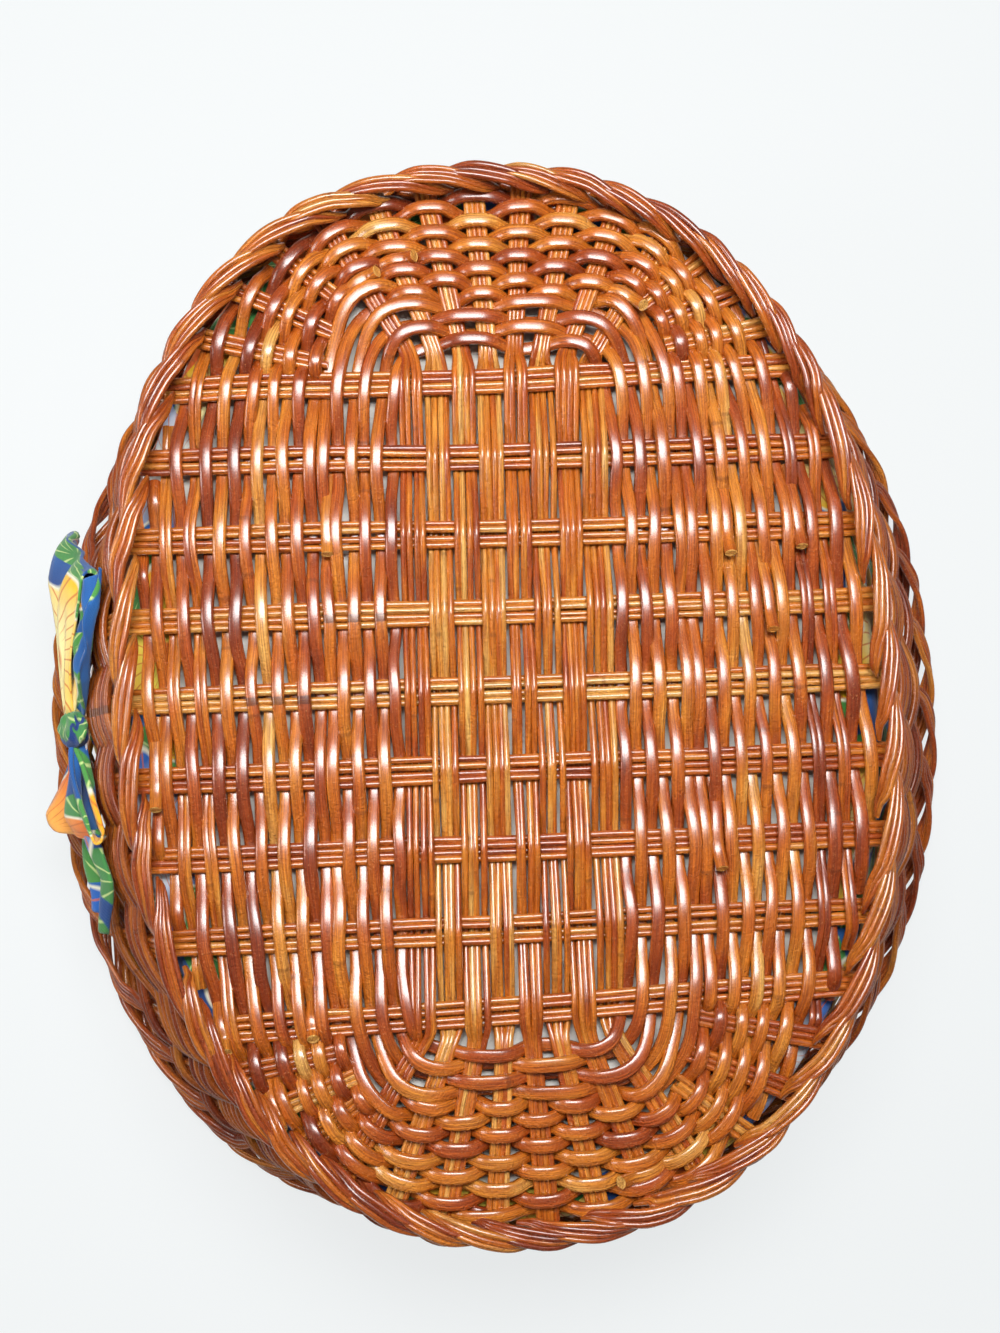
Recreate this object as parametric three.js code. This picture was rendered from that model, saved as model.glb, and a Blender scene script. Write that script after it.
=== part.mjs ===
import * as THREE from 'three';

// An oval rattan bread basket with a fabric liner, standing on its plaited foot.
// Millimetres, +Z up, X across the basket, Y along it. The floor is z = 0, under the middle of the basket.

// Overall sizes, at the middle line of each plaited border
const basketHeight = 80;
const footHalfWidth = 96;
const footHalfLength = 133;
const footFullness = 2.23;
const sideFlare = 31.5;
const endFlare = 16;
const rimFullness = 2.13;

// Borders
const footBorderWidth = 8.6;
const footBorderHeight = 8;
const footFlatWidth = 4.4;
const footScallop = 0.9;
const rimBorderWidth = 12;
const rimBorderHeight = 12;
const rimFlatWidth = 6;
const rimScallop = 1.2;

// Stakes: flat bundles of round canes, side by side
const caneDiameter = 1.9;
const crossStakeCount = 9;
const latticeEndMargin = 52.2;
const crossStakeWidth = 7.6;
const longStakeCount = 8;
const longStakePitch = 6.75;
const longStakeWidth = 6.3;
const fanStakeWidth = 4;
const fanStartRun = 2.1;
const fanEndPitch = 12.8;
const cornerStakesPerCorner = 3;
const cornerStakeWidth = 5.7;
const cornerStartBand = 2;
const wallStakeWidth = 6;
const stakeEvenness = 0.5;

// Weaving
const rodDiameter = 2.2;
const roundStartSideGap = 0.85;
const roundStartEndGap = 6;
const lastRowSideGap = 1.5;
const lastRowEndGap = 2.7;
const rowsPerBand = 3;
const roundBandCount = 4;
const roundBandGap = 1.85;
const innerRoundFullness = 8;
const outerRoundFullness = 3.3;
const sideBandCount = 2;
const sideBandRows = 3.5;
const sideBandGap = 1.9;
const rowEndLength = 3;
const sharpTurn = 0.18;

// Wall
const bendRun = 5;
const bendRise = 5.2;
const bendMiddleRun = 3;
const bendMiddleRise = 1.4;
const lowerBandHeight = 11.6;
const middleBandHeight = 11.6;
const upperBandHeight = 9.6;
const rimLegHeight = 6.5;
const bandSpacing = 0.6;

// Liner and bow
const floorThickness = 1;
const floorEdgeGap = 1.5;
const clothThickness = 0.8;
const linerDrop = 2;
const tieWidth = 7;
const tieThickness = 2.4;
const knotWidth = 13;
const knotLength = 15;
const knotDepth = 10;
const loopWidth = 24;
const loopDepth = 8;
const upperLoopLength = 43;
const lowerLoopLength = 34;
const loopStartRise = 1.5;
const loopEndRise = 6;
const tailWidth = 14;
const tailDepth = 2.6;
const tailStartDrop = 6.5;
const tailEndDrop = 15;
const upperTailLength = 46;
const lowerTailLength = 56;

// Clearances between pieces that touch on the real basket
const contactGap = 0.3;
const wrapGap = 0.35;

// Heights that follow
const matHeight = footBorderHeight + contactGap + caneDiameter / 2;
const weaveOffset = (caneDiameter + rodDiameter) / 2 + contactGap;
const matTop = matHeight + weaveOffset + rodDiameter / 2;
const wallStart = matHeight + bendRise;
const rimMiddleHeight = basketHeight - rimBorderHeight / 2;
const rimBottom = basketHeight - rimBorderHeight;
const stakeTop = rimBottom - contactGap;

// The rim leans out over the foot by the flare of each wall
const rimHalfWidth = footHalfWidth + sideFlare;
const rimHalfLength = footHalfLength + endFlare;

// The mat of lengthwise stakes in the middle of the base, and the rows of weaving round it
const lastCrossY = footHalfLength - latticeEndMargin;
const crossStakePitch = (2 * lastCrossY) / (crossStakeCount - 1);
const roundStartHalfWidth = ((longStakeCount - 1) * longStakePitch + longStakeWidth) / 2 + roundStartSideGap;
const roundStartHalfLength = lastCrossY + crossStakeWidth / 2 + roundStartEndGap;
const roundRows = rowsPerBand * roundBandCount;
const sideRows = roundRows + sideBandRows * sideBandCount;
const lastRowHalfWidth = footHalfWidth - footBorderWidth / 2 - lastRowSideGap;
const lastRowHalfLength = footHalfLength - footBorderWidth / 2 - lastRowEndGap;
const sideRowPitch = (lastRowHalfWidth - roundStartHalfWidth) / sideRows;
const endRowPitch = (lastRowHalfLength - roundStartHalfLength) / roundRows;
const roundBandWidth = rowsPerBand * Math.min(sideRowPitch, endRowPitch) - roundBandGap;
const sideBandWidth = sideBandRows * sideRowPitch - sideBandGap;

const colours = {
  stake: 0xb5692f,
  longStake: 0xa85e2b,
  rod: 0x9c4f22,
  border: 0x8f4620,
  rim: 0x6f3417,
  print: 0x2d6fb0,
  plain: 0xe9e4d8,
};

const basket = new THREE.Group();

function addPiece(name, geometry, colour, roughness = 0.4) {
  const material = new THREE.MeshStandardMaterial({ color: colour, roughness, metalness: 0 });
  const mesh = new THREE.Mesh(geometry, material);
  mesh.name = name;
  basket.add(mesh);
}

// A closed body through matching rings of points, capped at both ends or joined round on itself
function loft(rings, closed = false) {
  const sides = rings[0].length;
  const triangles = [];
  const spans = closed ? rings.length : rings.length - 1;
  for (let ring = 0; ring < spans; ring += 1) {
    const here = ring * sides;
    const there = ((ring + 1) % rings.length) * sides;
    for (let side = 0; side < sides; side += 1) {
      const next = (side + 1) % sides;
      triangles.push([here + side, here + next, there + next]);
      triangles.push([here + side, there + next, there + side]);
    }
  }
  if (!closed) {
    const last = (rings.length - 1) * sides;
    for (let side = 1; side < sides - 1; side += 1) {
      triangles.push([0, side + 1, side]);
      triangles.push([last, last + side, last + side + 1]);
    }
  }
  const points = rings.flat();
  const volume = triangles.reduce((sum, [a, b, c]) => (
    sum + points[a].dot(new THREE.Vector3().crossVectors(points[b], points[c]))
  ), 0);
  const outward = volume > 0 ? triangles : triangles.map(([a, b, c]) => [a, c, b]);
  const geometry = new THREE.BufferGeometry().setFromPoints(points);
  geometry.setIndex(outward.flat());
  geometry.computeVertexNormals();
  return geometry;
}

// A flat bundle: every station has its centre, half its width and half its thickness as vectors
function ribbon(stations, closed = false) {
  return loft(stations.map(({ centre, across, through }) => [
    centre.clone().add(across).add(through),
    centre.clone().sub(across).add(through),
    centre.clone().sub(across).sub(through),
    centre.clone().add(across).sub(through),
  ]), closed);
}

function station(plan, height, across, through) {
  return { centre: new THREE.Vector3(plan.x, plan.y, height), across, through };
}

function flat(plan, length = 1) {
  return new THREE.Vector3(plan.x * length, plan.y * length, 0);
}

function upward(length) {
  return new THREE.Vector3(0, 0, length);
}

function turned(plan) {
  return new THREE.Vector2(-plan.y, plan.x);
}

// Ovals are superellipses: level is 1 on the line, below 1 inside
function level(oval, point) {
  return Math.abs(point.x / oval.a) ** oval.n + Math.abs(point.y / oval.b) ** oval.n;
}

function onOval(oval, direction) {
  const scale = level(oval, direction) ** (-1 / oval.n);
  return direction.clone().multiplyScalar(scale);
}

function ovalX(oval, y) {
  return oval.a * (1 - Math.abs(y / oval.b) ** oval.n) ** (1 / oval.n);
}

function ovalY(oval, x) {
  return oval.b * (1 - Math.abs(x / oval.a) ** oval.n) ** (1 / oval.n);
}

function ovalNormal(oval, point) {
  const x = Math.sign(point.x) * Math.abs(point.x / oval.a) ** (oval.n - 1) / oval.a;
  const y = Math.sign(point.y) * Math.abs(point.y / oval.b) ** (oval.n - 1) / oval.b;
  return new THREE.Vector2(x, y).normalize();
}

function polar(angle) {
  return new THREE.Vector2(Math.cos(angle), Math.sin(angle));
}

function angleOf(point) {
  return (Math.atan2(point.y, point.x) + 2 * Math.PI) % (2 * Math.PI);
}

// Arc length round an oval, as a share of the whole, for an angle and back again
function ovalRuler(oval) {
  const steps = 1440;
  const lengths = [0];
  let previous = onOval(oval, polar(0));
  for (let step = 1; step <= steps; step += 1) {
    const point = onOval(oval, polar((step / steps) * 2 * Math.PI));
    lengths.push(lengths[step - 1] + point.distanceTo(previous));
    previous = point;
  }
  const total = lengths[steps];
  function shareAt(angle) {
    const place = (angle / (2 * Math.PI)) * steps;
    const step = Math.min(Math.floor(place), steps - 1);
    return THREE.MathUtils.lerp(lengths[step], lengths[step + 1], place - step) / total;
  }
  function pointAt(share) {
    const target = (((share % 1) + 1) % 1) * total;
    const step = Math.min(Math.max(lengths.findIndex((length) => length > target), 1), steps);
    const part = (target - lengths[step - 1]) / (lengths[step] - lengths[step - 1]);
    return onOval(oval, polar(((step - 1 + part) / steps) * 2 * Math.PI));
  }
  return { shareAt, pointAt };
}

const footOval = { a: footHalfWidth, b: footHalfLength, n: footFullness };
const rimOval = { a: rimHalfWidth, b: rimHalfLength, n: rimFullness };
const footRuler = ovalRuler(footOval);
const rimRuler = ovalRuler(rimOval);

// The line of a weaving row round the base, counted outwards from the stakes' middle mat
function rowOval(row) {
  const share = Math.min(row / roundRows, 1);
  return {
    a: roundStartHalfWidth + row * sideRowPitch,
    b: roundStartHalfLength + row * endRowPitch,
    n: THREE.MathUtils.lerp(innerRoundFullness, outerRoundFullness, share),
  };
}

function isOutside(oval, point) {
  return level(oval, point) > 1;
}

// Where a straight line outwards crosses an oval, or null if it starts outside
function crossing(oval, start, end) {
  if (isOutside(oval, start) || !isOutside(oval, end)) {
    return null;
  }
  let inner = 0;
  let outer = 1;
  for (let pass = 0; pass < 40; pass += 1) {
    const middle = (inner + outer) / 2;
    if (isOutside(oval, start.clone().lerp(end, middle))) {
      outer = middle;
    } else {
      inner = middle;
    }
  }
  return inner;
}

// Each stake end: its plan line from the mat to the foot border, and its place on the rim
const stakeEnds = [];

function addStakeEnd(start, foot, startWidth, endWidth) {
  const direction = foot.clone().sub(start).normalize();
  const end = { start, foot, direction, startWidth, endWidth };
  stakeEnds.push(end);
  return end;
}

const crossStakes = [];
for (let index = 0; index < crossStakeCount; index += 1) {
  const y = (index - (crossStakeCount - 1) / 2) * crossStakePitch;
  const reach = ovalX(footOval, y);
  const middle = new THREE.Vector2(0, y);
  const ends = [1, -1].map((side) => (
    addStakeEnd(middle, new THREE.Vector2(side * reach, y), crossStakeWidth, crossStakeWidth)
  ));
  crossStakes.push({ y, ends });
}

const latticeFlat = crossStakeWidth / 2 + wrapGap;
const fanStart = lastCrossY + latticeFlat + fanStartRun;

const longStakes = [];
for (let index = 0; index < longStakeCount; index += 1) {
  const place = index - (longStakeCount - 1) / 2;
  const x = place * longStakePitch;
  const ends = [1, -1].map((side) => {
    const footX = place * fanEndPitch;
    const foot = new THREE.Vector2(footX, side * ovalY(footOval, footX));
    return addStakeEnd(new THREE.Vector2(x, side * fanStart), foot, fanStakeWidth, cornerStakeWidth);
  });
  longStakes.push({ x, index, ends });
}

// The corner stakes share out the foot line between the last cross stake and the outermost
// lengthwise stake. They start between two bands of weaving, the first close beside the cross stake.
const cornerStakes = [];
const cornerOval = rowOval(rowsPerBand * cornerStartBand);
const cornerStartY = lastCrossY + (crossStakeWidth + fanStakeWidth) / 2 + wrapGap;
for (const [sideX, sideY] of [[1, 1], [-1, 1], [-1, -1], [1, -1]]) {
  const flip = new THREE.Vector2(sideX, sideY);
  const outerLong = longStakes[longStakeCount - 1].ends[0];
  const crossFoot = new THREE.Vector2(ovalX(footOval, lastCrossY), lastCrossY);
  const firstShare = footRuler.shareAt(angleOf(crossFoot));
  const lastShare = footRuler.shareAt(angleOf(outerLong.foot));
  const firstInner = new THREE.Vector2(ovalX(cornerOval, cornerStartY), cornerStartY);
  const lastInnerShare = crossing(cornerOval, outerLong.start, outerLong.foot);
  const lastInner = outerLong.start.clone().lerp(outerLong.foot, lastInnerShare);
  for (let index = 0; index < cornerStakesPerCorner; index += 1) {
    const footShare = THREE.MathUtils.lerp(firstShare, lastShare, (index + 1) / (cornerStakesPerCorner + 1));
    const innerShare = index / cornerStakesPerCorner;
    const foot = footRuler.pointAt(footShare);
    const innerAngle = THREE.MathUtils.lerp(angleOf(firstInner), angleOf(lastInner), innerShare);
    const inner = onOval(cornerOval, polar(innerAngle));
    const start = inner.clone().lerp(foot, contactGap / inner.distanceTo(foot));
    const end = addStakeEnd(start.multiply(flip), foot.multiply(flip), fanStakeWidth, cornerStakeWidth);
    cornerStakes.push(end);
  }
}

// Up the wall each stake leans straight from its foot to its place on the rim, in a frame of its own
stakeEnds.sort((first, second) => angleOf(first.foot) - angleOf(second.foot));
stakeEnds.forEach((end, index) => {
  const ownShare = footRuler.shareAt(angleOf(end.foot));
  const evenShare = index / stakeEnds.length;
  end.footShare = ownShare;
  end.rimShare = THREE.MathUtils.lerp(ownShare, evenShare, stakeEvenness);
  end.rim = rimRuler.pointAt(end.rimShare);
  end.footNormal = ovalNormal(footOval, end.foot);
  end.outward = end.footNormal.clone().add(ovalNormal(rimOval, end.rim)).normalize();
  end.along = turned(end.outward);
  end.wallFoot = end.foot.clone().addScaledVector(end.footNormal, bendRun);
});

function wallPoint(end, height) {
  const share = (height - wallStart) / (rimMiddleHeight - wallStart);
  return end.wallFoot.clone().lerp(end.rim, share);
}

function widthAt(end, share) {
  return THREE.MathUtils.lerp(end.startWidth, end.endWidth, share);
}

// Stations of one stake end, from the foot border up to the rim.
// Sign is -1 where the stake is drawn inwards.
function risingStations(end, sign) {
  const half = caneDiameter / 2;
  const footAcross = turned(end.direction);
  const middleAcross = footAcross.clone().add(end.along).normalize();
  const bendPlan = end.foot.clone().addScaledVector(end.footNormal, bendMiddleRun);
  const lean = flat(end.footNormal, -half * Math.SQRT1_2).add(upward(half * Math.SQRT1_2));
  const bendWidth = (end.endWidth + wallStakeWidth) / 2;
  const wallAcross = flat(end.along, (sign * wallStakeWidth) / 2);
  return [
    station(end.foot, matHeight, flat(footAcross, sign * end.endWidth / 2), upward(half)),
    station(bendPlan, matHeight + bendMiddleRise, flat(middleAcross, sign * bendWidth / 2), lean),
    station(end.wallFoot, wallStart, wallAcross, flat(end.outward, -half)),
    station(wallPoint(end, stakeTop), stakeTop, wallAcross, flat(end.outward, -half)),
  ];
}

crossStakes.forEach(({ ends }, index) => {
  const [right, left] = ends;
  const stations = [...risingStations(right, -1).reverse(), ...risingStations(left, 1)];
  addPiece(`cross_stake_${index + 1}`, ribbon(stations), colours.stake);
});

longStakes.forEach(({ x, index, ends }) => {
  const [far, near] = ends;
  const half = upward(caneDiameter / 2);
  const fanAcross = (end, sign) => flat(turned(end.direction), sign * fanStakeWidth / 2);
  const stations = [...risingStations(far, -1).reverse()];
  stations.push(station(far.start, matHeight, fanAcross(far, -1), half));
  for (let row = crossStakeCount - 1; row >= 0; row -= 1) {
    const side = (row + index) % 2 === 0 ? 1 : -1;
    const height = matHeight + side * (caneDiameter + contactGap);
    const across = new THREE.Vector3(longStakeWidth / 2, 0, 0);
    stations.push(station(new THREE.Vector2(x, crossStakes[row].y + latticeFlat), height, across, half));
    stations.push(station(new THREE.Vector2(x, crossStakes[row].y - latticeFlat), height, across, half));
  }
  stations.push(station(near.start, matHeight, fanAcross(near, 1), half));
  stations.push(...risingStations(near, 1));
  addPiece(`long_stake_${index + 1}`, ribbon(stations), colours.longStake);
});

cornerStakes.forEach((end, index) => {
  const across = flat(turned(end.direction), end.startWidth / 2);
  const first = station(end.start, matHeight, across, upward(caneDiameter / 2));
  addPiece(`corner_stake_${index + 1}`, ribbon([first, ...risingStations(end, 1)]), colours.stake);
});

// A band of weaving rods in the base: flat over or under each stake, and sloping between them
function baseCrossings(oval, bandWidth) {
  const found = [];
  for (const end of stakeEnds) {
    const share = crossing(oval, end.start, end.foot);
    if (share !== null) {
      const point = end.start.clone().lerp(end.foot, share);
      const normal = ovalNormal(oval, point);
      const tangent = turned(normal);
      const square = Math.abs(normal.dot(end.direction));
      const slant = Math.abs(tangent.dot(end.direction));
      const reach = (widthAt(end, share) / 2 + wrapGap + (bandWidth / 2) * slant) / square;
      found.push({ point, normal, tangent, reach, angle: angleOf(point) });
    }
  }
  return found.sort((first, second) => first.angle - second.angle);
}

function flatStations(place, height, bandWidth, before, after) {
  const across = flat(place.normal, bandWidth / 2);
  const through = upward(rodDiameter / 2);
  return [-before, after].map((step) => (
    station(place.point.clone().addScaledVector(place.tangent, step), height, across, through)
  ));
}

function cornerStation(oval, place, next, height, bandWidth) {
  const turn = place.normal.angleTo(next.normal);
  if (turn < sharpTurn) {
    return [];
  }
  const point = onOval(oval, place.point.clone().add(next.point));
  const across = flat(ovalNormal(oval, point), bandWidth / 2);
  return [station(point, height, across, upward(rodDiameter / 2))];
}

for (let band = 0; band < roundBandCount; band += 1) {
  const oval = rowOval(rowsPerBand * (band + 0.5));
  const places = baseCrossings(oval, roundBandWidth);
  const stations = places.flatMap((place, index) => {
    const next = places[(index + 1) % places.length];
    const height = matHeight + ((index + band) % 2 === 0 ? 1 : -1) * weaveOffset;
    return [
      ...flatStations(place, height, roundBandWidth, place.reach, place.reach),
      ...cornerStation(oval, place, next, matHeight, roundBandWidth),
    ];
  });
  addPiece(`base_round_${band + 1}`, ribbon(stations, true), colours.rod);
}

// The outer rows of the long sides stop where they would run into the foot border
const footInner = {
  a: footHalfWidth - footBorderWidth / 2 - contactGap,
  b: footHalfLength - footBorderWidth / 2 - contactGap,
  n: footFullness,
};
for (const [sideName, side] of [['right', 1], ['left', -1]]) {
  for (let band = 0; band < sideBandCount; band += 1) {
    const row = roundRows + sideBandRows * (band + 0.5);
    const oval = rowOval(row);
    const places = baseCrossings(oval, sideBandWidth).filter((place) => {
      const farEnd = place.point.clone().addScaledVector(place.normal, sideBandWidth / 2);
      const beyond = place.reach + rowEndLength;
      const clear = [1, -1].every((way) => (
        level(footInner, farEnd.clone().addScaledVector(place.tangent, way * beyond)) < 1
      ));
      return clear && place.point.x * side > 0;
    });
    places.sort((first, second) => first.point.y - second.point.y);
    const middle = (places.length - 1) / 2;
    const stations = places.flatMap((place, index) => {
      const height = matHeight + ((Math.abs(index - middle) + band) % 2 < 1 ? 1 : -1) * weaveOffset;
      const before = place.reach + (index === 0 ? rowEndLength : 0);
      const after = place.reach + (index === places.length - 1 ? rowEndLength : 0);
      if (side > 0) {
        return flatStations(place, height, sideBandWidth, before, after);
      }
      return flatStations(place, height, sideBandWidth, after, before).reverse();
    });
    addPiece(`side_rows_${sideName}_${band + 1}`, ribbon(stations), colours.rod);
  }
}

// A plaited border: a ring with one scallop between every two stakes, level underneath
function borderRing(ruler, oval, shareName, width, height, flatWidth, bottom, scallop) {
  const rings = [];
  stakeEnds.forEach((end, index) => {
    const next = stakeEnds[(index + 1) % stakeEnds.length];
    const here = end[shareName];
    const gap = (next[shareName] - here + 1) % 1;
    for (const [share, swell] of [[here, 0], [here + gap / 2, scallop]]) {
      const point = ruler.pointAt(share);
      const normal = ovalNormal(oval, point);
      const corner = (outwards, up) => (
        new THREE.Vector3(point.x + normal.x * outwards, point.y + normal.y * outwards, bottom + up)
      );
      rings.push([
        corner(-flatWidth / 2, 0),
        corner(flatWidth / 2, 0),
        corner(width / 2 + swell, height / 2),
        corner(flatWidth / 2, height),
        corner(-flatWidth / 2, height),
        corner(-width / 2, height / 2),
      ]);
    }
  });
  return loft(rings, true);
}

addPiece(
  'foot_border',
  borderRing(
    footRuler,
    footOval,
    'footShare',
    footBorderWidth,
    footBorderHeight,
    footFlatWidth,
    0,
    footScallop,
  ),
  colours.border,
);
addPiece(
  'rim_border',
  borderRing(
    rimRuler,
    rimOval,
    'rimShare',
    rimBorderWidth,
    rimBorderHeight,
    rimFlatWidth,
    rimBottom,
    rimScallop,
  ),
  colours.rim,
);

// A band of weaving round the wall: in front of one stake and behind the next
function wallBand(bottom, height, parity) {
  const rings = [];
  stakeEnds.forEach((end, index) => {
    const side = (index + parity) % 2 === 0 ? 1 : -1;
    const reach = wallStakeWidth / 2 + wrapGap;
    for (const step of [-reach, reach]) {
      const corner = (cornerHeight, depth) => {
        const plan = wallPoint(end, cornerHeight)
          .addScaledVector(end.along, step)
          .addScaledVector(end.outward, side * weaveOffset + depth);
        return new THREE.Vector3(plan.x, plan.y, cornerHeight);
      };
      rings.push([
        corner(bottom, -rodDiameter / 2),
        corner(bottom, rodDiameter / 2),
        corner(bottom + height, rodDiameter / 2),
        corner(bottom + height, -rodDiameter / 2),
      ]);
    }
  });
  return loft(rings, true);
}

const lowerBandBottom = wallStart + bandSpacing;
const middleBandBottom = lowerBandBottom + lowerBandHeight + bandSpacing;
const openBandBottom = middleBandBottom + middleBandHeight;
const upperBandBottom = rimBottom - rimLegHeight - upperBandHeight;
addPiece('wall_weave_lower', wallBand(lowerBandBottom, lowerBandHeight, 0), colours.rod);
addPiece('wall_weave_middle', wallBand(middleBandBottom, middleBandHeight, 1), colours.rod);
addPiece('wall_weave_upper', wallBand(upperBandBottom, upperBandHeight, 0), colours.rod);

// The liner's skirt stands just inside the wall weaving, open at the top and the bottom
const linerBottom = matTop + contactGap + floorThickness + contactGap;
const linerTop = rimBottom - linerDrop;
const linerOffset = weaveOffset + rodDiameter / 2 + contactGap + clothThickness / 2;
const skirtRings = stakeEnds.map((end) => {
  const corner = (height, depth) => {
    const plan = wallPoint(end, height).addScaledVector(end.outward, -linerOffset + depth);
    return new THREE.Vector3(plan.x, plan.y, height);
  };
  return [
    corner(linerBottom, -clothThickness / 2),
    corner(linerBottom, clothThickness / 2),
    corner(linerTop, clothThickness / 2),
    corner(linerTop, -clothThickness / 2),
  ];
});
addPiece('liner_skirt', loft(skirtRings, true), colours.print, 0.9);

// The liner's floor lies on the woven base
const floorOval = { a: footHalfWidth - floorEdgeGap, b: footHalfLength - floorEdgeGap, n: footFullness };
const floorShape = new THREE.Shape();
stakeEnds.forEach((end, index) => {
  const point = onOval(floorOval, polar(angleOf(end.foot)));
  if (index === 0) {
    floorShape.moveTo(point.x, point.y);
  } else {
    floorShape.lineTo(point.x, point.y);
  }
});
const floorGeometry = new THREE.ExtrudeGeometry(floorShape, { depth: floorThickness, bevelEnabled: false });
floorGeometry.translate(0, 0, matTop + contactGap);
addPiece('liner_floor', floorGeometry, colours.plain, 0.95);

// The tie comes out between two stakes in the middle of the +X side, and the bow is tied outside the wall
const tieHeight = (openBandBottom + upperBandBottom) / 2;
const tieStakes = [stakeEnds[stakeEnds.length - 1], stakeEnds[0]];
const tieOut = tieStakes[0].outward.clone().add(tieStakes[1].outward).normalize();
const bowDepth = weaveOffset + rodDiameter / 2 + contactGap;

function tiePlan(height, depth) {
  const middle = wallPoint(tieStakes[0], height).add(wallPoint(tieStakes[1], height)).multiplyScalar(0.5);
  return middle.addScaledVector(tieOut, depth);
}

function ellipseRing(centre, first, second, sides = 8) {
  return Array.from({ length: sides }, (unused, side) => {
    const angle = ((side + 0.5) / sides) * 2 * Math.PI;
    return centre.clone()
      .addScaledVector(first, Math.cos(angle))
      .addScaledVector(second, Math.sin(angle));
  });
}

const knotPlan = tiePlan(tieHeight, bowDepth + knotDepth / 2);
const knotRings = [-1, -0.72, 0, 0.72, 1].map((place) => {
  const centre = flat(knotPlan).add(upward(tieHeight)).add(flat(turned(tieOut), (place * knotLength) / 2));
  const girth = Math.sqrt(1 - 0.75 * place * place);
  return ellipseRing(centre, flat(tieOut, (girth * knotDepth) / 2), upward((girth * knotWidth) / 2));
});
addPiece('bow_knot', loft(knotRings), colours.print, 0.9);

const tieInner = tiePlan(tieHeight + tieThickness / 2, -linerOffset + clothThickness / 2 + contactGap);
const tieOuter = knotPlan.clone().addScaledVector(tieOut, -knotDepth / 2 - contactGap);
const tieStations = [tieInner, tieOuter].map((plan) => (
  station(plan, tieHeight, flat(turned(tieOut), tieWidth / 2), upward(tieThickness / 2))
));
addPiece('liner_tie', ribbon(tieStations), colours.print, 0.9);

// A place outside the wall weaving, by its distance along Y and its height
function outsideWall(y, height, depth) {
  const share = (height - wallStart) / (rimMiddleHeight - wallStart);
  const oval = {
    a: THREE.MathUtils.lerp(footHalfWidth + bendRun, rimHalfWidth, share),
    b: THREE.MathUtils.lerp(footHalfLength + bendRun, rimHalfLength, share),
    n: THREE.MathUtils.lerp(footFullness, rimFullness, share),
  };
  const point = new THREE.Vector2(ovalX(oval, y), y);
  const normal = ovalNormal(oval, point);
  const plan = point.addScaledVector(normal, bowDepth + depth);
  return { place: new THREE.Vector3(plan.x, plan.y, height), normal };
}

// The wall's slope beside the bow is measured over this rise
const slopeStep = 1;

// A loop or tail of the bow: a swelling, flattened body that runs from the knot along the wall.
// Each station of its outline is its share of the length, of the width and of the depth.
function bowPiece({ way, length, width, depth, startRise, endRise, outline }) {
  const rings = outline.map(([along, wide, deep]) => {
    const y = knotPlan.y + way * (knotLength / 2 + contactGap + along * length);
    const height = tieHeight + THREE.MathUtils.lerp(startRise, endRise, Math.sqrt(along));
    const { place, normal } = outsideWall(y, height, depth / 2);
    const above = outsideWall(y, height + slopeStep, depth / 2).place;
    const upWall = above.sub(place).normalize();
    const outwards = flat(normal, (deep * depth) / 2);
    return ellipseRing(place, outwards, upWall.multiplyScalar((wide * width) / 2));
  });
  return loft(rings);
}

const loopOutline = [[0, 0.3, 0.6], [0.2, 0.6, 0.85], [0.5, 1, 1], [0.8, 0.9, 1], [1, 0.45, 0.7]];
const tailOutline = [[0, 0.35, 1], [0.3, 0.85, 1], [0.75, 1, 1], [1, 0.3, 0.8]];
const loopShape = { width: loopWidth, depth: loopDepth, startRise: loopStartRise, endRise: loopEndRise };
const tailShape = { width: tailWidth, depth: tailDepth, startRise: -tailStartDrop, endRise: -tailEndDrop };
const bowPieces = {
  bow_loop_upper: { way: 1, length: upperLoopLength, outline: loopOutline, ...loopShape },
  bow_loop_lower: { way: -1, length: lowerLoopLength, outline: loopOutline, ...loopShape },
  bow_tail_upper: { way: 1, length: upperTailLength, outline: tailOutline, ...tailShape },
  bow_tail_lower: { way: -1, length: lowerTailLength, outline: tailOutline, ...tailShape },
};
for (const [name, shape] of Object.entries(bowPieces)) {
  addPiece(name, bowPiece(shape), colours.print, 0.9);
}

export default basket;
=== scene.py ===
# %% [markdown]
# # An oval rattan bread basket
# The basket stands on a plaited foot, and this scene looks at it from below, as if it lay upside
# down on a white table. Its base and wall are woven from varnished cane: stakes in bundles of
# three or four thin canes, and thicker rods that run over and under them. A cotton liner sits
# inside and is tied to one long side with a bow. The CAD model gives every size and place, and
# each cell below dresses one of its pieces.

# %% Load the CAD frame
import math

import bmesh
import bpy
import numpy as np
from mathutils import Matrix, Vector
from mathutils.kdtree import KDTree


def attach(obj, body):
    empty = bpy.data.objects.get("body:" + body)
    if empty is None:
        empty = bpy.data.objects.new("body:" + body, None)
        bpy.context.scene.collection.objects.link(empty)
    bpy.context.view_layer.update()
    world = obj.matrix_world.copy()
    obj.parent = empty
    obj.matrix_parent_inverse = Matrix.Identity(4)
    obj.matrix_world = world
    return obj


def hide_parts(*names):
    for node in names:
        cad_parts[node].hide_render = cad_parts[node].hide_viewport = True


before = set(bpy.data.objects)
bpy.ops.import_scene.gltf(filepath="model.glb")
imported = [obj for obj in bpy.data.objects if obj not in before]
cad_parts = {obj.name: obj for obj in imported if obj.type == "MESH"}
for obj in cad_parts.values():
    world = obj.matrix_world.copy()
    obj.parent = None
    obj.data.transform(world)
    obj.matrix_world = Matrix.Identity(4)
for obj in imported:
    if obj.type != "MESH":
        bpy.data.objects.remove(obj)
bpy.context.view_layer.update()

chance = np.random.default_rng(26)

# %% [markdown]
# ## The ovals
# The foot, the rim and every row of weaving follow a superellipse, which is an ellipse with
# slightly squarer ends. Lengths here are in millimetres, as a basket maker would measure them,
# and become metres when a mesh is made.

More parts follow.
